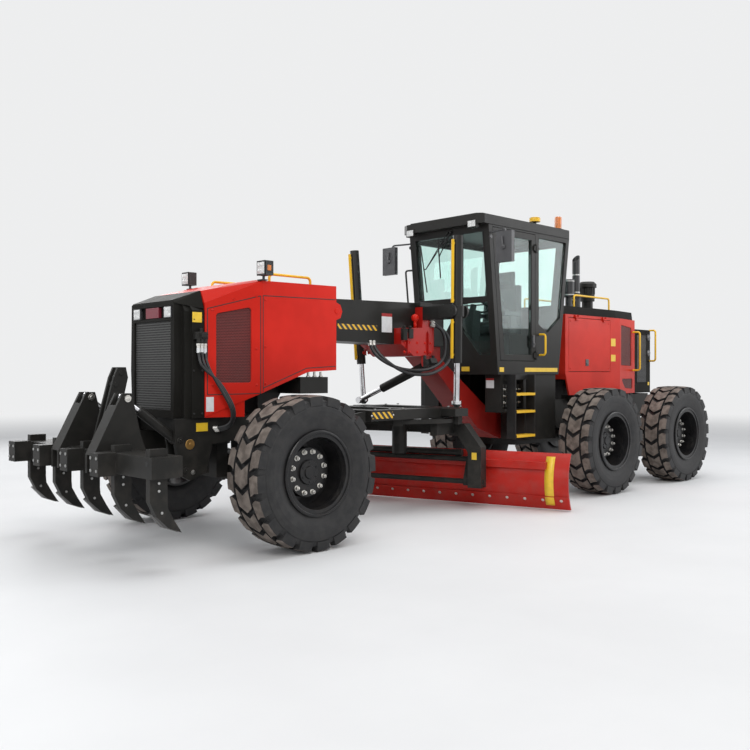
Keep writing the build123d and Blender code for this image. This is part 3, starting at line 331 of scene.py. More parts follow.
def stringer_zone(place):
    """The ladder's black side plates and bracket."""
    x, z = place.axis("X"), place.axis("Z")
    sides = (1.0 - (x + 1.004).abs().above(0.0062, 0.0068)) + (1.0 - (x + 0.616).abs().above(0.0062, 0.0068))
    return (sides + z.above(1.455, 1.459)).clamp() * (1.0 - z.above(1.521, 1.524))


def casting_zone(place):
    """The red casting inside the saddle's black arms."""
    return 1.0 - place.axis("Y").abs().above(0.331, 0.333)


red_paint = painted("red_paint", (0.61, 0.017, 0.008), coat=0.06, shine=0.13)
# a darker copy of the red paint: painted shade on the blade
blade_red_painted_shade = painted("blade_red_painted_shade", (0.47, 0.017, 0.010), rough=0.4)
# a darker copy of the red paint: painted shade on the gooseneck
neck_red_painted_shade = painted("neck_red_painted_shade", (0.30, 0.013, 0.009), rough=0.4)
rear_red = painted("rear_red", (0.58, 0.026, 0.014), coat=0.05, shine=0.14)
# a darker copy of the red paint: painted shade on the saddle's ribs
saddle_red_painted_shade = painted("saddle_red_painted_shade", (0.40, 0.010, 0.008))
black_paint = painted("black_paint", (0.018, 0.0175, 0.016), rough=0.42, coat=0.04, shine=0.16)
nose_black = painted("nose_black", (0.012, 0.0115, 0.010), rough=0.5, coat=0.0, shine=0.06)
yellow_paint = painted("yellow_paint", (0.84, 0.50, 0.03), rough=0.38, coat=0.3)
ladder_paint = painted("ladder_paint", (0.84, 0.50, 0.03), second=(0.020, 0.020, 0.020), zone=stringer_zone)
barrel_paint = painted("barrel_paint", (0.016, 0.016, 0.015), second=(0.78, 0.46, 0.015), zone=guard_zone)
# the casting's red is the red paint darkened: painted shade between the black arms
saddle_paint = painted("saddle_paint", (0.018, 0.018, 0.017), coat=0.1, second=(0.42, 0.012, 0.008),
                       zone=casting_zone)
rim_paint = painted("rim_paint", (0.010, 0.010, 0.011), rough=0.30, coat=0.25, dust=0.1)
rubber = tyre_rubber()
hose_rubber = moulded("hose_rubber", (0.012, 0.012, 0.013), rough=0.42, grain=500.0)
gasket = moulded("gasket_rubber", (0.008, 0.008, 0.008), rough=0.6)
chrome = metal("polished_rod", (0.80, 0.80, 0.82), rough=0.14, scratch=0.08)
steel = metal("bare_steel", (0.46, 0.46, 0.45), rough=0.38)
tooth_steel = metal("tooth_steel", (0.16, 0.155, 0.15), rough=0.45)
zinc = metal("zinc_bolts", (0.72, 0.70, 0.66))
brass = metal("brass_cap", (0.62, 0.36, 0.12), rough=0.45)
cast_iron = metal("cast_iron", (0.12, 0.12, 0.12), rough=0.6)
mirror_glass = metal("mirror_glass", (0.75, 0.78, 0.80), rough=0.05, scratch=0.03)
stack_black = moulded("heat_black", (0.022, 0.022, 0.024), rough=0.42)
cab_plastic = moulded("cab_plastic", (0.035, 0.037, 0.038), rough=0.6)
seat_cloth = moulded("seat_cloth", (0.060, 0.070, 0.070), rough=0.85, grain=900.0, spread=0.2)
grip_plastic = moulded("grip_plastic", (0.060, 0.060, 0.064), rough=0.4, grain=700.0)
glass = tinted_glass()
clear_lens = lamp_glass("clear_lens", (0.80, 0.81, 0.80), glow=0.12)
amber_lens = lamp_glass("amber_lens", (0.85, 0.22, 0.01), glow=0.05)
red_lens = lamp_glass("red_lens", (0.55, 0.02, 0.01))
smoked_lens = lamp_glass("smoked_lens", (0.05, 0.05, 0.055))
# the second colour of each screen is the painted shade seen in its holes
grille_screen = screen("grille_screen", (0.055, 0.055, 0.053), (0.004, 0.004, 0.004), 0.022)
red_screen = screen("red_screen", (0.155, 0.012, 0.010), (0.030, 0.004, 0.004), 0.014, across="X")
rear_screen = screen("rear_screen", (0.135, 0.012, 0.010), (0.028, 0.004, 0.004), 0.016, across="X")
tail_screen = screen("tail_screen", (0.050, 0.050, 0.050), (0.004, 0.004, 0.004), 0.018, across="X")
hazard = striped("hazard_stripes", (0.80, 0.46, 0.02), (0.012, 0.012, 0.012), 0.074, -0.95)
yellow_label = decal("yellow_label", (0.86, 0.56, 0.03))
white_label = decal("white_label", (0.74, 0.75, 0.76))
headed_label = decal("headed_label", (0.74, 0.75, 0.76), (0.35, 0.02, 0.02), 2.165)
headed_low = decal("cabinet_sticker", (0.74, 0.75, 0.76), (0.35, 0.02, 0.02), 1.45)
badge_red = decal("badge_red", (0.20, 0.020, 0.035))

finish_of_slot = {
    "paint_red": red_paint, "paint_black": black_paint, "paint_yellow": yellow_paint,
    "tyre": rubber, "rim": rim_paint, "cylinder_rod": chrome, "steel": steel,
    "cast_iron": cast_iron, "exhaust": stack_black, "glass": glass, "lamp": clear_lens,
    "cab_trim": cab_plastic,
}
finish_of_node = {
    "moldboard": blade_red_painted_shade, "gooseneck": neck_red_painted_shade, "saddle": saddle_paint, "nose_cowl": nose_black,
    "tail_cowl": nose_black, "engine_hood": rear_red, "engine_door_left": rear_red,
    "engine_door_right": rear_red, "access_rails": ladder_paint, "lift_barrel_left": barrel_paint,
    "lift_barrel_right": barrel_paint, "front_lamps": cab_plastic, "mirrors": grip_plastic,
}


def finish(piece, material):
    piece.data.materials.clear()
    piece.data.materials.append(material)


for subpart in frame["record"]["subparts"]:
    node = subpart["node"]
    finish(nodes[node], finish_of_node.get(node, finish_of_slot[subpart["material_slot"]]))


# ---------------- mesh helpers
sides_of = (("left", 1), ("right", -1))            # a side's name and the sign of its y
both = (1, -1)
front, rear = "front_frame", "rear_frame"          # the two bodies that carry most pieces
red, black, yellow = "paint_red", "paint_black", "paint_yellow"


def linked(name, data):
    """A new object in the scene."""
    made = bpy.data.objects.new(name, data)
    bpy.context.scene.collection.objects.link(made)
    return made


def settle(bm, name, body, slot, material, smooth=False, replaces=(), bevel=0.0, segments=2):
    """Turns a bmesh into a piece that rides on a body."""
    bmesh.ops.remove_doubles(bm, verts=bm.verts[:], dist=1e-5)
    bmesh.ops.recalc_face_normals(bm, faces=bm.faces[:])
    mesh = bpy.data.meshes.new(name)
    bm.to_mesh(mesh)
    bm.free()
    piece = linked(name, mesh)
    finish(piece, material)
    for polygon in mesh.polygons:
        polygon.use_smooth = smooth
    if bevel:
        edges = piece.modifiers.new("edges", "BEVEL")
        edges.width, edges.segments, edges.limit_method = bevel, segments, "ANGLE"
        edges.angle_limit = radians(35)
    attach(piece, body)
    if replaces:
        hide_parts(*replaces)
    return piece


def at(x, y, z):
    """A point given in the model's own millimetres, whose zero lies under the front axle."""
    return Vector((x + 2960, y, z)) / 1000


def add_block(bm, low, high):
    verts = bmesh.ops.create_cube(bm, size=1.0)["verts"]
    low, high = Vector(low), Vector(high)
    bmesh.ops.scale(bm, vec=high - low, verts=verts)
    bmesh.ops.translate(bm, vec=(low + high) / 2, verts=verts)


def add_rod(bm, start, end, radius, corners=16, end_radius=None):
    start, end = Vector(start), Vector(end)
    along = end - start
    verts = bmesh.ops.create_cone(bm, cap_ends=True, segments=corners, radius1=radius, depth=along.length,
                                  radius2=radius if end_radius is None else end_radius)["verts"]
    turn = along.to_track_quat("Z", "Y").to_matrix().to_4x4()
    bmesh.ops.transform(bm, matrix=Matrix.Translation((start + end) / 2) @ turn, verts=verts)


def add_ball(bm, centre, radius, segments, scale=(1, 1, 1)):
    around, upwards = segments
    verts = bmesh.ops.create_uvsphere(bm, u_segments=around, v_segments=upwards, radius=radius)["verts"]
    bmesh.ops.scale(bm, vec=scale, verts=verts)
    bmesh.ops.translate(bm, vec=centre, verts=verts)


def add_plate(bm, corners, out):
    """A flat plate with those corners, out thick along its outward normal."""
    normal = (corners[1] - corners[0]).cross(corners[2] - corners[1]).normalized()
    face = bm.faces.new([bm.verts.new(c) for c in corners])
    grown = bmesh.ops.extrude_face_region(bm, geom=[face])["geom"]
    lifted = [v for v in grown if isinstance(v, bmesh.types.BMVert)]
    bmesh.ops.translate(bm, vec=normal * out, verts=lifted)


def rod_x(y, z, start, end, *section):
    return (start, y, z), (end, y, z), *section


def rod_y(x, z, start, end, *section):
    return (x, start, z), (x, end, z), *section


def rod_z(x, y, start, end, *section):
    return (x, y, start), (x, y, end), *section


def solids(name, body, slot, material, blocks=(), rods=(), balls=(), plates=(), sides=(1,), mirrored=False,
           **more):
    """A piece made of simple solids, whose places are in the model's millimetres.

    blocks are (x, x, y, y, z, z); rods are (start, end, radius, corners, end radius); balls are
    (centre, radius, segments, scale). They are made once for each sign of y in sides. plates are
    (corners, thickness) with corners in metres. mirrored adds the other side's copy of everything.
    """
    bm = bmesh.new()
    for side in sides:
        for x0, x1, y0, y1, z0, z1 in blocks:
            near, far = sorted((side * y0, side * y1))
            add_block(bm, at(x0, near, z0), at(x1, far, z1))
        for start, end, *section in rods:
            add_rod(bm, *(at(x, side * y, z) for x, y, z in (start, end)), *section)
        for (x, y, z), *form in balls:
            add_ball(bm, at(x, side * y, z), *form)
    for corners, thickness in plates:
        add_plate(bm, corners, thickness)
    if mirrored:
        bmesh.ops.mirror(bm, geom=bm.verts[:] + bm.edges[:] + bm.faces[:], axis="Y", merge_dist=-1)
    settle(bm, name, body, slot, material, **more)


def hull(name, body, slot, material, points):
    """The tightest closed form round some points and their mirror images."""
    bm = bmesh.new()
    bmesh.ops.convex_hull(bm, input=[bm.verts.new(at(x, side * y, z)) for side in both for x, y, z in points])
    settle(bm, name, body, slot, material, bevel=0.003)


def on(panel, outline, out):
    """Corners given on a panel, out above it."""
    return [panel(a, b, out) for a, b in outline]


def ring(count, radius, phase=0.0):
    """Places round a circle, as pairs of sine and cosine."""
    angles = [2 * pi * (n + phase) / count for n in range(count)]
    return [(radius * sin(angle), radius * cos(angle)) for angle in angles]


def body_of_node(name):
    return nodes[name]["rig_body"]


def middle(name):
    low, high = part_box(name)
    return (low + high) / 2


# ---------------- tyres
wheels = ("front_left", "front_right", "mid_left", "mid_right", "rear_left", "rear_right")
pitches = 20                      # tread blocks round a tyre
tread_depth = 0.036
bead_radius = 0.368


def spin_round(bm, points, edges, steps):
    """Spins a profile into a full turn about the Y axis."""
    bmesh.ops.spin(bm, geom=points + edges, cent=(0, 0, 0), axis=(0, 1, 0), angle=2 * pi, steps=steps,
                   use_merge=True)


def tyre_mesh(half_width, outer, bead):
    """A tyre about the Y axis: spun carcass with three rows of tread blocks."""
    bm = bmesh.new()
    floor = outer - tread_depth
    rows = [                      # half-width share, radius of the carcass from bead to crown
        (0.78, bead - 0.022), (0.84, bead + 0.004), (0.875, bead + 0.03), (0.93, bead + 0.075),
        (0.975, bead + 0.13), (0.985, bead + 0.17), (0.975, bead + 0.205), (0.945, floor - 0.055),
        (0.90, floor - 0.018), (0.80, floor - 0.004), (0.40, floor),
    ]
    profile = [(-share * half_width, radius) for share, radius in rows]
    profile += [(-y, radius) for y, radius in reversed(profile)]
    profile += [(0.70 * half_width, bead - 0.045), (-0.70 * half_width, bead - 0.045)]
    points = [bm.verts.new((0, y, radius)) for y, radius in profile]
    edges = [bm.edges.new((a, b)) for a, b in zip(points, points[1:] + points[:1])]
    spin_round(bm, points, edges, 96)
    bmesh.ops.remove_doubles(bm, verts=bm.verts[:], dist=1e-5)
    worn = bm.faces.layers.float.new("worn")

    # lugs as stations across the tyre: (half widths out, rear edge, front edge), edges in pitches
    arrow = [(-0.42, -0.62, 0.20), (0.0, -0.34, 0.48), (0.42, -0.62, 0.20)]
    shoulder = [(0.49, -0.52, 0.28), (0.72, -0.66, 0.14), (0.97, -0.62, 0.12)]
    flipped = [(-across, rear, front) for across, rear, front in reversed(shoulder)]
    pitch = 2 * pi / pitches
    slant = 0.035                 # how far a lug's walls lean in, in pitches
    steps = 3                     # spans along a lug, to follow the tyre's round

    def lug(stations, phase):
        """One block: a grid of faces on top and leaning walls down to the carcass."""
        top, base = {}, {}
        last = len(stations) - 1
        for n, (across, rear, front) in enumerate(stations):
            inward = 0.02 * ((n == 0) - (n == last))
            for k in range(steps + 1):
                t = k / steps
                along = (rear + slant) * (1 - t) + (front - slant) * t
                angle, radius = (phase + along) * pitch, outer - 0.012 * abs(across) ** 2.5
                top[n, k] = bm.verts.new((radius * sin(angle), (across + inward) * half_width,
                                          radius * cos(angle)))
                if n in (0, last) or k in (0, steps):
                    angle = (phase + rear * (1 - t) + front * t) * pitch
                    radius = floor - 0.012 - 0.25 * max(0.0, abs(across) - 0.8)
                    base[n, k] = bm.verts.new((radius * sin(angle), across * half_width, radius * cos(angle)))
        for n in range(last):
            for k in range(steps):
                bm.faces.new((top[n, k], top[n + 1, k], top[n + 1, k + 1], top[n, k + 1]))[worn] = 1.0
        rim = ([(n, 0) for n in range(last)] + [(last, k) for k in range(steps)]
               + [(n, steps) for n in range(last, 0, -1)] + [(0, k) for k in range(steps, 0, -1)])
        for here, there in zip(rim, rim[1:] + rim[:1]):
            bm.faces.new((base[here], base[there], top[there], top[here]))

    for n in range(pitches):
        lug(arrow, n)
        lug(shoulder, n + 0.45)
        lug(flipped, n + 0.45)
    return bm


for wheel in wheels:
    node = wheel + "_tyre"
    low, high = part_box(node)
    centre = middle(node)
    bm = tyre_mesh((high.y - low.y) / 2, (high.z - low.z) / 2, bead_radius)
    turn = Matrix.Rotation(pi if centre.y < 0 else 0.0, 4, "Z")
    bmesh.ops.transform(bm, matrix=Matrix.Translation(centre) @ turn, verts=bm.verts[:])
    settle(bm, "tread_" + wheel, body_of_node(node), "tyre", rubber, replaces=[node])


# ---------------- wheels
def wheel_trim(wheel):
    """Rings in the rim's dish, the hub's drum and cap, the ring of wheel nuts and the valve."""
    centre = middle(wheel + "_rim")
    centre.y = middle(wheel + "_tyre").y
    turn = Matrix.Translation(centre) @ Matrix.Rotation(pi if centre.y < 0 else 0.0, 4, "Z")
    drum = 0.050                  # how far out the hub's drum brings the ring of nuts
    nut_circle, bolt_circle = 0.182, 0.084

    def place(bm, name, slot, material, **more):
        bmesh.ops.transform(bm, matrix=turn, verts=bm.verts[:])
        settle(bm, name + wheel, body_of_node(wheel + "_rim"), slot, material, **more)

    bm = bmesh.new()
    steps = [(0.372, 0.205), (0.362, 0.212), (0.348, 0.212), (0.344, 0.196), (0.336, 0.192), (0.332, 0.170),
             (0.322, 0.164), (0.318, 0.140), (0.309, 0.120), (0.306, 0.118), (0.306, 0.150), (0.315, 0.199)]
    points = [bm.verts.new((0, y, radius)) for radius, y in steps]
    spin_round(bm, points, [bm.edges.new(pair) for pair in zip(points, points[1:])], 72)
    place(bm, "rim_rings_", "rim", rim_paint, bevel=0.003)

    bm = bmesh.new()
    for x, z in ring(12, nut_circle, 0.5):
        add_rod(bm, (x, drum - 0.006, z), (x, drum + 0.003, z), 0.024, 16)
        add_rod(bm, (x, drum, z), (x, drum + 0.028, z), 0.0185, 6)
        add_rod(bm, (x, drum + 0.026, z), (x, drum + 0.038, z), 0.0105, 10, 0.007)
    place(bm, "wheel_nuts_", "steel", zinc, bevel=0.0015, segments=1)

    bm = bmesh.new()
    add_rod(bm, (0, -0.026, 0), (0, drum, 0), 0.222, 56, 0.216)
    add_rod(bm, (0, drum - 0.002, 0), (0, drum + 0.022, 0), 0.110, 48, 0.104)
    add_rod(bm, (0, drum + 0.020, 0), (0, drum + 0.034, 0), 0.060, 40, 0.053)
    for x, z in ring(6, bolt_circle):
        add_rod(bm, (x, drum + 0.020, z), (x, drum + 0.029, z), 0.008, 6)
    add_rod(bm, (0.262, -0.032, 0.10), (0.250, 0.020, 0.096), 0.007, 10, 0.0055)
    place(bm, "hub_cap_", "rim", rim_paint, bevel=0.002)


for wheel in wheels:
    wheel_trim(wheel)


# ---------------- bolts, stickers and panels
def bolts(name, body, places, out, radius=0.009, material=zinc, slot="steel"):
    """Round-headed bolts; out is the way that their heads stand."""
    bm = bmesh.new()
    out = Vector(out).normalized()
    for place in places:
        add_rod(bm, place - out * 0.003, place + out * radius * 0.25, radius * 1.5, 12)
        add_rod(bm, place, place + out * radius * 0.9, radius, 6, radius * 0.85)
    settle(bm, name, body, slot, material)


def both_bolts(name, body, places, out, *more):
    for tag, side in sides_of:
        bolts(f"{name}_{tag}", body, [Vector((p.x, side * p.y, p.z)) for p in places],
              (out[0], side * out[1], out[2]), *more)


def both_labels(name, body, x, z, y, material=yellow_label, slot=yellow):
    """A blank sticker on each side's upright face; x and z are pairs in millimetres."""
    thick, sunk = 0.0025, 0.0005
    for tag, side in sides_of:
        bm = bmesh.new()
        low, high = at(min(x), side * y, min(z)), at(max(x), side * y, max(z))
        low.y -= sunk if side > 0 else thick
        high.y += thick if side > 0 else sunk
        add_block(bm, low, high)
        settle(bm, f"{name}_{tag}", body, slot, material, bevel=0.0015)


hood_angle = atan2(152, 520)
hood_out = Vector((sin(hood_angle), cos(hood_angle), 0))
rear_angle = atan2(100, 600)
rear_out = Vector((-sin(rear_angle), cos(rear_angle), 0))
circle_x = -2370                  # the middle of the circle
blade_turn = radians(16.9)


def hood_panel(s, z, out=0.0):
    """A point of the front hood's angled left panel, s ahead of the knee."""
    return at(50 + s * cos(hood_angle), 607 - s * sin(hood_angle), z) + hood_out * (out / 1000)


def flank(x, z, out=0.0):
    """A point of the front hood's straight left side."""
    return at(x, 607 + out, z)


def rear_panel(s, z, out=0.0):
    """A point of the rear hood's angled left panel, s behind its knee."""
    return at(-6440 - s * cos(rear_angle), 505 - s * sin(rear_angle), z) + rear_out * (out / 1000)


def windscreen(y, z, out=0.0):
    """A point of the raked windscreen."""
    return at(-3400 + (z - 1520) * 185 / 1780 + out, y, z)


def on_blade(v, u, z):
    """A point of the blade group: v ahead of the circle's middle, u along the blade."""
    return at(circle_x + v * cos(blade_turn) - u * sin(blade_turn),
              v * sin(blade_turn) + u * cos(blade_turn), z)


def recessed_screen(name, body, panel, outline, material):
    """Mesh in a panel's recess, on both sides of the hood."""
    solids(name, body, red, material, plates=[(on(panel, outline, -11.5), 0.004)], mirrored=True)


def seam(points, panel, width=8.0):
    """The gap between two sheets, as thin dark plates along a line."""
    plates = []
    for (a, b), (c, d) in zip(points, points[1:]):
        run = Vector((c - a, d - b)).normalized() * width / 2
        corners = [(c - run.y, d + run.x), (c + run.y, d - run.x),
                   (a + run.y, b - run.x), (a - run.y, b + run.x)]
        plates.append((on(panel, corners, -0.5), 0.0016))
    return plates


# ---------------- nose
# woven screen over the grille's bars, and the faceted cap of the nose
solids("grille_screen", front, black, grille_screen, blocks=[(816, 819, -318, 318, 1212, 1998)])
hull("nose_cap", front, black, nose_black,
     [(578, 453, 2108), (578, 392, 2274), (837, 372, 2150), (837, 345, 2177)])

# head lamps: reflector cells behind a lens, in a bezel
solids("head_lamp_lenses", front, "lamp", clear_lens, sides=both, smooth=True, bevel=0.002,
       balls=[((838, 270 + y, 2077 + z), 0.023, (16, 8), (0.25, 1.0, 0.85))
              for y in (-28, 28) for z in (24, -24)],
       blocks=[(836, 839.5, 216, 324, 2033, 2122)])
solids("head_lamp_bezels", front, black, grip_plastic, bevel=0.001,
       blocks=[bar for y in (270, -270)
               for bar in (*((822, 840, y - 62, y + 62, z, z + 6) for z in (2026, 2122)),
                           *((822, 840, edge, edge + 6, 2026, 2128) for edge in (y - 62, y + 56)))])
solids("nose_badge_plate", front, "steel", badge_red, blocks=[(801, 835, -112, 112, 2030, 2125)],
       bevel=0.004)

# work lamps on the hood, with cooling fins, a rim and a side marker
solids("work_lamp_lenses", front, "lamp", clear_lens, sides=both, smooth=True, bevel=0.002,
       balls=[((99, 640 + y, z), 0.020, (16, 8), (0.3, 1, 1)) for z in (2470, 2520) for y in (-24, 24)],
       blocks=[(94, 99, 590, 690, 2442, 2548)])
solids("work_lamp_fins", front, black, cab_plastic, sides=both, bevel=0.001,
       blocks=[*((x, x + 5, 576, 704, 2448, 2562) for x in range(8, 80, 12)),
               (86, 97, 578, 586, 2430, 2560), (86, 97, 694, 702, 2430, 2560),
               (86, 97, 578, 702, 2552, 2562), (86, 97, 578, 702, 2428, 2438)])
solids("side_markers", front, "lamp", amber_lens, sides=both, bevel=0.002,
       blocks=[(30, 70, 702, 710, 2470, 2520)])

# stickers, the brass cap and the pins of the nose plates
both_labels("fan_label", front, (600, 697), (1985, 2075), 450.5)
both_labels("plate_label", front, (520, 640), (1020, 1095), 420.5)
solids("brass_caps", front, "steel", brass, sides=both, bevel=0.0015,
       rods=[rod_y(702, 911, 415, 424, 0.048, 32, 0.044), rod_y(702, 911, 423, 427, 0.012, 16)])
solids("nose_pins", front, "steel", zinc, sides=both, bevel=0.001,
       rods=[rod for x, z, radius in ((800, 955, 0.026), (745, 685, 0.024), (672, 662, 0.022))
             for rod in (rod_y(x, z, 418, 429, radius, 24, radius * 0.9),
                         rod_y(x, z, 429, 432, radius * 0.35, 12))])
bolts("nose_screws", front, [at(x, 450.5, z) for x in (596, 680) for z in (1180, 1560, 2010)],
      (0, 1, 0), 0.007, gasket, black)

# hydraulic manifold on the nose's left side
solids("nose_manifold", front, black, black_paint, bevel=0.003,
       blocks=[(560, 690, 450, 492, 1835, 1900), (575, 640, 492, 512, 1850, 1890)],
       rods=[*(rod_z(x, 480, 1790, 1840, 0.017, 12) for x in (585, 620, 655)),
             *(rod_z(x, 480, 1800, 1818, 0.021, 6) for x in (585, 620, 655)),
             rod_z(620, 470, 1895, 1935, 0.014, 12)])


# ---------------- front hood
recessed_screen("hood_screens", front, hood_panel, [(112, 1452), (438, 1452), (438, 2070), (112, 2138)],
                red_screen)
# raised front of the roof, and the fixed panel below each angled one
hull("hood_roof_rise", front, red, red_paint,
     [(50, 603, 2382), (50, 500, 2399), (574, 455, 2158), (574, 392, 2272)])
skirt = on(hood_panel, [(544, 1142), (544, 1160), (172, 1312), (172, 1142)], -6)
solids("hood_skirts", front, red, red_paint, plates=[(skirt, 0.005)], mirrored=True)
solids("hood_seams", front, black, gasket, mirrored=True, plates=[
    *seam([(20, 1352), (20, 2245), (520, 2112), (520, 1345), (20, 1352)], hood_panel),
    *seam([(45, 1368), (45, 2248), (-838, 2262)], flank),
    *seam([(45, 1400), (-470, 1585), (-838, 1605)], flank)])
screws = ((60, 2240), (60, 1430), (475, 2100), (475, 1430), (60, 1760), (280, 2205))
both_bolts("panel_screws", front, on(hood_panel, screws, 0.4), hood_out, 0.008, red_paint, red)
bolts("flank_screws", front, [flank(20, z, 0.4) for z in (2210, 1780, 1440)], (0, 1, 0), 0.008,
      red_paint, red)
# round red lugs at the rear corners, spacers under the rear edge, and a sticker
solids("hood_lug_bosses", front, red, red_paint, sides=both, bevel=0.002,
       rods=[rod_y(-858, 2150, 582, 613, 0.030, 28, 0.027)])
solids("hood_spacers", front, black, zinc, mirrored=True,
       rods=[rod for x in (-560, -640, -720)
             for rod in (rod_z(x, 520, 1499, 1550, 0.013, 12), rod_z(x, 520, 1499, 1512, 0.020, 6))])
sticker = on(hood_panel, [(462, 1195), (532, 1195), (532, 1325), (462, 1325)], 0.2)
solids("hood_labels", front, red, white_label, plates=[(sticker, 0.002)], mirrored=True)


# ---------------- hoses and rails
def curve(name, kind, points, resolution, material):
    """A curved line as an object, whose round section is still to be given; returns it and its data."""
    line = bpy.data.curves.new(name, "CURVE")
    line.dimensions, line.resolution_u, line.use_fill_caps = "3D", resolution, True
    spline = line.splines.new(kind)
    spline.points.add(len(points) - 1)
    for point, place in zip(spline.points, points):
        point.co = (*place, 1.0)
    if kind == "NURBS":
        spline.order_u, spline.use_endpoint_u = 3, True
    line.materials.append(material)
    return linked(name, line), line


def hose(name, points, diameter, body=front):
    """A rubber hose on one NURBS line through its route's points, with a fitting at each end."""
    piece, line = curve(name, "NURBS", points, 10, hose_rubber)
    route = [v.co.copy() for v in bpy.data.meshes.new_from_object(piece).vertices]
    line.bevel_depth, line.bevel_resolution = diameter / 2, 5
    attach(piece, body)
    bm = bmesh.new()
    for first, second in ((route[0], route[2]), (route[-1], route[-3])):
        way = (second - first).normalized()
        add_rod(bm, first - way * 0.004, first + way * diameter * 1.3, diameter * 0.62, 14)
        add_rod(bm, first - way * 0.006, first + way * diameter * 0.5, diameter * 0.75, 6)
    ends = settle(bm, name + "_fittings", body, "steel", zinc)


def tube(name, body, points, bend, radius, material):
    """A rigid bent tube: a path with rounded corners, swept as one curve."""
    path = [points[0]]
    for before, corner, after in zip(points, points[1:], points[2:]):
        enter = corner + (before - corner).normalized() * bend
        leave = corner + (after - corner).normalized() * bend
        for t in (0.0, 0.2, 0.4, 0.6, 0.8, 1.0):
            path.append(enter * (1 - t) ** 2 + corner * 2 * t * (1 - t) + leave * t * t)
    path.append(points[-1])
    piece, line = curve(name, "POLY", path, 12, material)
    line.bevel_depth, line.bevel_resolution = radius, 4
    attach(piece, body)


# three from the block on the nose down towards the axle, and two from the beam to the saddle
for n, (x, shift) in enumerate(((585, 0), (620, 34), (655, 66))):
    hose(f"nose_hose_{n}", [
        at(x, 480, 1792), at(x, 480, 1700), at(x - 10, 512, 1590), at(520 - shift * 0.5, 548, 1470),
        at(440 - shift * 0.6, 566, 1340), at(372 - shift * 0.5, 580, 1215), at(352 - shift * 0.3, 560, 1110),
        at(400 - shift * 0.3, 500, 1050 - shift * 0.4), at(455 - shift * 0.3, 424, 1048 - shift * 0.4),
    ], 0.026)
solids("hose_sleeves", front, black, white_label,
       rods=[((x, 480.5, z), (x, 480, z + 45), 0.0155, 14)
             for x, z in ((585, 1712), (620, 1722), (655, 1716))])
for n, (y, drop, start) in enumerate(((300, 0, -1690), (345, 48, -1745))):
    far = 440 + 45 * n
    hose(f"saddle_hose_{n}", [
        at(start, 206, 1885), at(start - 5, 226, 1800), at(start - 60, y, 1690 - drop * 0.4),
        at(start - 230, far - 40, 1590 - drop), at(start - 470, far, 1562 - drop),
        at(-2440, far + 5, 1585 - drop), at(-2640 - drop, far, 1680 - drop * 0.6),
        at(-2712 - drop, far - 20, 1850), at(-2690 - drop, 400, 2010), at(-2610, 372, 2080),
        at(-2545, 331, 2090 + drop)], 0.036)


# ---------------- beam, saddle and drawbar
both_labels("beam_stripes", front, (-1215, -1795), (2003, 2060), 215.5, hazard)
both_labels("beam_label", front, (-1866, -2028), (1990, 2200), 215.5, headed_label)
# red knob, valve blocks, bolts and flange ribs of the saddle
solids("saddle_knob", front, red, red_paint, smooth=True, balls=[((-2330, 285, 2165), 0.044, (28, 16))],
       rods=[rod_z(-2330, 285, 2040, 2140, 0.018, 16)])
solids("saddle_valves", front, black, black_paint, bevel=0.003,
       blocks=[(-2120, -2050, 330, 372, 1905, 2035), (-2215, -2145, 330, 372, 1925, 2035),
               (-2600, -2400, 216, 300, 2296, 2350)],
       rods=[rod for x in (-2085, -2180)
             for rod in (rod_z(x, 352, 2035, 2067, 0.016, 12), rod_z(x, 352, 2047, 2059, 0.021, 6))])
both_bolts("saddle_bolts", front, [at(x, 330, z) for x in (-2110, -2190, -2320, -2450, -2540)
                                  for z in (1775, 1880)], (0, 1, 0), 0.012, red_paint, red)
solids("saddle_ribs", front, red, saddle_red_painted_shade, mirrored=True, bevel=0.003,
       plates=[([at(x, y, z) for y, z in ((329, 1740), (352, 1760), (352, 1985), (329, 2020))], 0.014)
               for x in (-2155, -2500)])
# stripes on the drawbar, and the bolts of the circle's shoes
both_labels("drawbar_stripes", "drawbar", (-1345, -1640), (1062, 1132), 610.5, hazard)
for tag, side in sides_of:
    for x in (-1335, -1650):
        bolts(f"drawbar_screw_{tag}_{-x}", "drawbar", [at(x, side * 610.5, 1097)], (0, side, 0), 0.007)
solids("drawbar_bolts", "drawbar", "steel", steel, sides=both, bevel=0.001,
       rods=[rod_z(x, 505, 1149, 1162, 0.016, 6) for x in (-1480, -1700, -1900, -2860, -2650)])


# ---------------- blade
def back_of_blade(z):
    """How far ahead of the circle's middle the blade's back is at a height."""
    if z < 168:                   # the straight cutting edge
        return -493 + (z - 15) * 81 / 150
    half, sag = 312.5, 110.0      # half the height of the curved sheet, and how deep it curves
    radius = (half ** 2 + sag ** 2) / (2 * sag)
    return -400 - radius + (radius ** 2 - (z - 327.5) ** 2) ** 0.5


way = Vector((cos(blade_turn) * 0.88, sin(blade_turn) * 0.88, -0.475))
bolts("blade_bolts", "moldboard", [on_blade(-435.5, -1585 + 211 * n, 120) for n in range(17)], way, 0.012)
# side-shift cylinder under the slide rail, fixed to the blade at its right
bm = bmesh.new()
for start, end, radius in ((-640, 560, 0.036), (560, 640, 0.042), (-660, -600, 0.046)):
    add_rod(bm, on_blade(-352, start, 612), on_blade(-352, end, 612), radius, 24)
settle(bm, "shift_barrel", "blade_carrier", black, black_paint, bevel=0.003)
# yellow band that follows the blade's back near its left end
bm = bmesh.new()
rows = [[bm.verts.new(on_blade(back_of_blade(z) + 1.5, u, z)) for u in (1610, 1712)]
        for z in range(62, 603, 30)]
for (a, b), (c, d) in zip(rows, rows[1:]):
    bm.faces.new((a, b, d, c))
band = settle(bm, "blade_band", "moldboard", yellow, yellow_label, smooth=True)
wall = band.modifiers.new("thickness", "SOLIDIFY")
wall.thickness, wall.offset = 0.003, 0.0
# yellow sticker on the yoke's arm
sticker = [on_blade(-129.5, u, z) for u, z in ((850, 560), (910, 560), (910, 640), (850, 640))]
solids("yoke_label", "circle", yellow, yellow_label, plates=[(sticker, 0.002)])


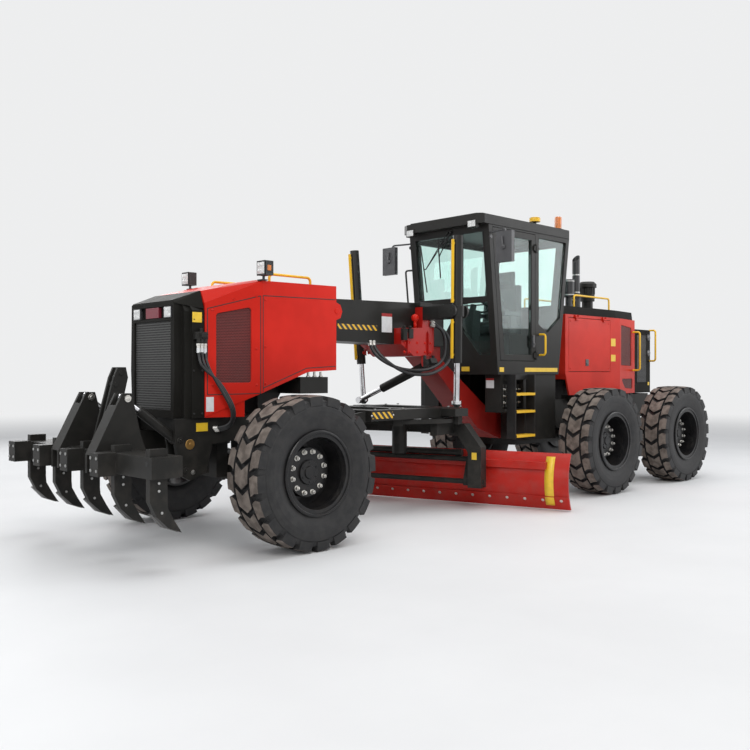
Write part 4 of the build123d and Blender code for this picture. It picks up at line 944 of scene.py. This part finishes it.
# ---------------- ripper
shanks = (-1100, -550, 0, 550, 1110)
tooth = ((1352, 506), (1334, 492), (1284, 402), (1218, 293), (1338, 340), (1444, 452))
solids("tower_pins", "ripper", "steel", zinc, bevel=0.0015,
       rods=[rod for y in (408, 248, -248, -408)
             for rod in (rod_y(1290, 1325, y - 5, y + 5, 0.030, 24),
                         rod_y(1290, 1325, y - 8, y + 8, 0.014, 16),
                         rod_y(1150, 760, y - 5, y + 5, 0.030, 24))])
solids("ripper_teeth", "ripper", "steel", tooth_steel, bevel=0.004,
       plates=[([at(x, y - 35, z) for x, z in tooth], 0.070) for y in shanks])
solids("ripper_bolts", "ripper", "steel", steel, bevel=0.001,
       rods=[*(rod_x(y + across, z, 1658, 1668, 0.014, 6)
               for y in shanks[:4] for z in (765, 865) for across in (-48, 48)),
             *(rod_y(x, z, y - 36, y + 36, 0.011, 12)
               for y in shanks for x, z in ((1425, 640), (1425, 700), (1400, 470)))])
# dark rubber discs where the beam's holes are: painted shade in the holes
solids("beam_hole_painted_shade", "ripper", black, gasket,
       rods=[rod_x(y, 850, 1508, 1512, 0.020, 24) for y in (-1140, 1110)])


# ---------------- cab
def cushion(name, low, high, crown, axis, channels=()):
    """A stuffed pad: a closed form that swells along an axis and pulls in between its corners.

    channels are stitched lines as (place, way), the place running from -1 to 1 over the pad.
    """
    bm = bmesh.new()
    bmesh.ops.create_cube(bm, size=2.0)
    bmesh.ops.subdivide_edges(bm, edges=bm.edges[:], cuts=13, use_grid_fill=True)
    half, centre = (high - low) / 2, (high + low) / 2
    first, second = [n for n in range(3) if n != axis]
    for vert in bm.verts:
        a, b, t = vert.co[first], vert.co[second], vert.co[axis]
        edge = max(abs(a), abs(b))
        swell = (1 - abs(a) ** 2.6) * (1 - abs(b) ** 2.6)
        dent = sum(0.35 * max(0.0, 1 - abs((b if way == 1 else a) - place) / 0.07) for place, way in channels)
        place = Vector((0, 0, 0))
        place[axis] = t * (half[axis] * (0.62 + 0.38 * (1 - edge ** 4)) + crown * (swell - dent * swell))
        place[first] = a * half[first] * (1 - 0.05 * (1 - abs(b) ** 2) * abs(a) ** 6 - 0.03 * t * t)
        place[second] = b * half[second] * (1 - 0.05 * (1 - abs(a) ** 2) * abs(b) ** 6 - 0.03 * t * t)
        vert.co = place + centre
    piece = settle(bm, name, front, "cab_trim", seat_cloth, smooth=True)
    soft = piece.modifiers.new("soft", "SUBSURF")
    soft.levels = soft.render_levels = 1


cushion("seat_cushion", at(-4345, -255, 2035), at(-3835, 255, 2190), 0.022, 2,
        ((-0.45, 1), (0.45, 1), (0.1, 0)))
cushion("seat_back", at(-4432, -245, 2150), at(-4298, 245, 2690), 0.020, 0, ((-0.5, 0), (0.5, 0), (0.2, 1)))
cushion("head_rest", at(-4430, -142, 2695), at(-4318, 142, 2872), 0.018, 0)
# arm rests with three levers each
bm = bmesh.new()
for arm in (290, -290):
    add_block(bm, at(-4280, arm - 45, 2270), at(-3930, arm + 45, 2325))
    add_block(bm, at(-4000, arm - 60, 2320), at(-3880, arm + 60, 2350))
    for y in (arm - 35, arm, arm + 35):
        add_rod(bm, at(-3920, y, 2345), at(-3900, y, 2440), 0.006, 8)
        add_ball(bm, at(-3899, y, 2450), 0.016, (12, 8))
    add_block(bm, at(-4200, arm - 22, 2060), at(-4080, arm + 22, 2280))
settle(bm, "arm_rests", front, "cab_trim", grip_plastic, bevel=0.006, segments=3)

# wipers on the windscreen, and the rubber round it
bm = bmesh.new()
for (y0, z0), (y1, z1), radius in (
    ((10, 3262), (-385, 2850), 0.007), ((50, 3255), (-360, 2872), 0.005),
    ((-448, 3150), (-392, 2560), 0.008), ((60, 3262), (-150, 2985), 0.007),
    ((-150, 3200), (-150, 2720), 0.008), ((-385, 2850), (-415, 2855), 0.007),
):
    add_rod(bm, windscreen(y0, z0, 16), windscreen(y1, z1, 16), radius, 8)
for y in (10, 60):
    add_rod(bm, windscreen(y, 3262, -12), windscreen(y, 3262, 26), 0.016, 16)
settle(bm, "wipers", front, black, gasket)
strips = ((545, 553, 2452, 3226), (-553, -545, 2452, 3226), (-553, 553, 2452, 2460), (-553, 553, 3220, 3228))
solids("windscreen_rubber", front, black, gasket,
       plates=[(on(windscreen, [(y0, z0), (y1, z0), (y1, z1), (y0, z1)], 2), 0.004)
               for y0, y1, z0, z1 in strips])

# roof lamps, beacon and dome
solids("roof_lamp_lenses", front, "lamp", clear_lens, sides=both, bevel=0.002,
       blocks=[(-3074, -3069, 445, 555, 3264, 3336)])
solids("beacon_lens", front, "lamp", amber_lens,
       rods=[rod_z(-4820, 530, 3440, 3588, 0.0465, 32), rod_z(-4820, 530, 3588, 3597, 0.0465, 32, 0.030),
             *(rod_z(-4820, 530, z, z + 5, 0.0480, 32) for z in range(3464, 3570, 15))])
solids("antenna_dome", front, yellow, yellow_paint,
       rods=[rod_z(-4370, 480, 3479, 3526, 0.0695, 40), rod_z(-4370, 480, 3526, 3536, 0.0695, 40, 0.056),
             rod_z(-4370, 480, 3536, 3541, 0.056, 40, 0.030)])

# mirrors, whose glass faces the driver
solids("mirror_glass", front, black, mirror_glass, sides=both, bevel=0.002,
       blocks=[(-3183, -3179, 832, 1028, 2832, 3152)])
solids("mirror_clamps", front, black, grip_plastic, sides=both, bevel=0.002,
       rods=[rod_x(930, 2985, -3122, -3108, 0.030, 24, 0.022), rod_y(-3245, 3150, 640, 660, 0.022, 16),
             ((-3112, 930, 2985), (-3112, 915, 3110), 0.010, 12)])

# each door's latch, and its leaf and pane as copies of the door's own mesh
for tag, side in sides_of:
    door = "cab_door_" + tag
    solids("door_latch_" + tag, door, black, grip_plastic, sides=(side,), bevel=0.004,
           blocks=[(-4118, -4078, 639, 665, 1860, 2010)], rods=[rod_y(-4098, 1900, 650, 676, 0.013, 16)])
    for glazed in (False, True):
        bm = bmesh.new()
        bm.from_mesh(nodes[door].data)
        bm.transform(nodes[door].matrix_world)
        bmesh.ops.remove_doubles(bm, verts=bm.verts[:], dist=1e-6)
        other = [face for face in bm.faces
                 if all(0.6115 < abs(vert.co.y) < 0.6185 for vert in face.verts) != glazed]
        bmesh.ops.delete(bm, geom=other, context="FACES")
        if glazed:
            settle(bm, "door_pane_" + tag, door, "glass", glass)
        else:
            settle(bm, "door_leaf_" + tag, door, black, black_paint, replaces=[door])

# the yellow sill under the doors, stickers and a grab rail
both_labels("yellow_sill", front, (-3935, -4640), (1553, 1604), 640.5)
both_labels("sill_label", front, (-3428, -3512), (1552, 1607), 640.5)
both_labels("valve_label", front, (-3608, -3692), (1478, 1515), 620.5)
both_labels("cabinet_label", front, (-4015, -4065), (1455, 1500), 620.5, white_label, black)
solids("front_wall_label", front, yellow, yellow_label, blocks=[(-3393, -3390, 80, 205, 1560, 1680)])
solids("cabinet_front_label", front, black, headed_low, blocks=[(-3481, -3478, 395, 515, 1355, 1475)])
tube("front_grab_rail", front, [at(-3262, -640, 2860), at(-3240, -735, 2860), at(-3320, -735, 2150),
                               at(-3345, -640, 2150)], 0.035, 0.012, gasket)


# ---------------- rear hood and tail
for name, outline in (("rear_screens", [(48, 1653), (462, 1648), (462, 2209), (48, 2237)]),
                      ("rear_vents", [(207, 1321), (507, 1303), (507, 1452), (50, 1452)])):
    recessed_screen(name, rear, rear_panel, outline, rear_screen)
solids("tail_side_screens", rear, black, tail_screen, mirrored=True,
       blocks=[(-7400, -7110, 399.5, 401.5, 1400, 2120)])
solids("tail_screen_frames", rear, black, nose_black, mirrored=True, bevel=0.001,
       blocks=[(-7412, -7398, 399, 404, 1388, 2132), (-7112, -7098, 399, 404, 1388, 2132),
               (-7412, -7098, 399, 404, 1388, 1402), (-7412, -7098, 399, 404, 2118, 2132)])
solids("tail_grille_screen", rear, black, grille_screen, blocks=[(-7548, -7545, -298, 298, 1325, 2095)])
# round lamps at the tail's sides, lamps at its back
solids("tail_lamp_rims", rear, black, grip_plastic, mirrored=True, bevel=0.002,
       rods=[rod_y(-7455, z, 399, 416, 0.050, 32, 0.046) for z in (1845, 2085)])
solids("side_lamp_lenses", rear, "lamp", smoked_lens, mirrored=True,
       rods=[rod_y(-7455, z, 414, 421, 0.037, 32, 0.020) for z in (1845, 2085)])
solids("rear_lamp_lenses", rear, "lamp", red_lens, mirrored=True,
       rods=[rod_x(322, z, -7579, -7574, 0.016, 20) for z in (1700, 1800)])
both_labels("tail_label", rear, (-7440, -7490), (1350, 1400), 401.8)
both_labels("hood_label_upper", rear, (-6190, -6312), (1922, 2032), 505.5)
both_labels("hood_label_lower", rear, (-6190, -6312), (1705, 1800), 505.5)
for tag, side in sides_of:
    door = "engine_door_" + tag
    solids("engine_door_latch_" + tag, door, black, grip_plastic, sides=(side,), bevel=0.003,
           blocks=[(-5600, -5522, 502, 512, 1635, 1728), (-5590, -5532, 509, 517, 1650, 1682)])
    bolts("engine_door_screws_" + tag, door, [at(x, side * 505.4, z) for x in (-5150, -6130)
                                              for z in (1600, 2240)], (0, side, 0), 0.007, rear_red, red)
# clamps on the exhaust, and the ribs of the air intake
solids("exhaust_clamps", rear, "exhaust", steel, bevel=0.001,
       rods=[*(rod_z(-5607, 300, z, z + 18, 0.0545, 36) for z in (2655, 2900)),
             *(rod_z(-5420, 300, z, z + 14, 0.0825, 36) for z in (2612, 2800))])
solids("intake_ribs", rear, black, gasket,
       rods=[*(rod_z(-6330 + x, 30 + y, 2700, 2795, 0.0035, 6) for y, x in ring(20, 108)),
             rod_z(-6330, 30, 2640, 2652, 0.110, 40)])


# ---------------- ladder and valves
solids("step_studs", front, yellow, yellow_paint, mirrored=True,
       rods=[rod_z(-3935 + 41 * n, 672 + 33 * row, z + 11, z + 15, 0.009, 8, 0.007)
             for z in (1285, 1075, 780) for row in range(3) for n in range(9)])
solids("valve_fittings", front, "steel", zinc, mirrored=True,
       rods=[rod for x in (-3873, -3798, -3723, -3648, -3573) for z in (1180, 1260, 1340)
             for rod in (rod_y(x, z, 578, 596, 0.014, 6), rod_y(x, z, 594, 612, 0.009, 10))])


# ---------------- studio
def studio():
    bm = bmesh.new()
    bmesh.ops.create_circle(bm, cap_ends=True, segments=96, radius=90)
    mesh = bpy.data.meshes.new("floor")
    bm.to_mesh(mesh)
    bm.free()
    floor = linked("floor", mesh)
    floor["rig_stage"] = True
    material, shader, place = new_material("studio_floor", Roughness=0.55, Specular_IOR_Level=0.25)
    smudge = place.noise(0.8, 4.0)
    feed(shader, Base_Color=smudge.above(0.2, 0.8).mix((0.77, 0.775, 0.78, 1), (0.81, 0.815, 0.82, 1)))
    far = place.node("VectorMath", {"operation": "LENGTH"}, {0: place}, output="Value").above(9.0, 26.0)
    backdrop = {"Color": (0.85, 0.855, 0.86, 1), "Strength": 1.0}
    tree = material.node_tree
    lit = Wire(tree, shader.outputs[0])
    blend = place.node("MixShader", None, {0: far, 1: lit, 2: place.node("Emission", None, backdrop)})
    tree.links.new(blend.socket, tree.nodes["Material Output"].inputs["Surface"])
    finish(floor, material)

    world = bpy.data.worlds.new("studio")
    bpy.context.scene.world = world
    world.use_nodes = True
    tree = world.node_tree
    start = Wire(tree, None)
    direct, mirrored, through = (start.node("LightPath", output=f"Is {ray} Ray")
                                 for ray in ("Camera", "Glossy", "Transmission"))
    seen = start.maths("MAXIMUM", direct, start.maths("MAXIMUM", mirrored, through))
    ambient = start.node("Background", None, {"Color": (0.92, 0.95, 1.0, 1), "Strength": 0.36})
    chosen = start.node("MixShader", None, {0: seen, 1: ambient, 2: start.node("Background", None, backdrop)})
    tree.links.new(chosen.socket, tree.nodes["World Output"].inputs["Surface"])

    for name, place, aim, size, power, colour in (
        ("key", (7.0, 10.0, 8.5), (0.5, 0.0, 1.2), (7.0, 5.0), 560, (1.0, 0.98, 0.95)),
        ("overhead", (-1.0, 1.0, 9.0), (-1.0, 0.0, 0.0), (12.0, 7.0), 560, (1.0, 1.0, 1.0)),
        ("front_fill", (12.0, 1.0, 4.0), (0.0, 0.0, 1.5), (6.0, 5.0), 230, (0.96, 0.98, 1.0)),
        ("rear_fill", (-9.0, 7.0, 5.0), (-3.0, 0.0, 1.5), (6.0, 5.0), 300, (0.97, 0.98, 1.0)),
        ("far_side", (1.0, -11.0, 6.0), (0.0, 0.0, 1.0), (9.0, 5.0), 380, (1.0, 1.0, 1.0)),
    ):
        light = bpy.data.lights.new(name, "AREA")
        light.shape, light.size, light.size_y, light.energy, light.color = "RECTANGLE", *size, power, colour
        lamp = linked(name, light)
        lamp.location = place
        lamp.rotation_euler = (Vector(aim) - Vector(place)).to_track_quat("-Z", "Y").to_euler()


studio()

camera = bpy.data.cameras.new("camera")
camera.lens, camera.sensor_width = 41.18, 36.0
viewer = linked("camera", camera)
viewer.location = (7.749, 6.962, 1.539)
viewer.rotation_euler = (radians(89.865), 0.0, radians(135.836))
bpy.context.scene.camera = viewer
bpy.context.scene.view_settings.view_transform = "Standard"

low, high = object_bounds()
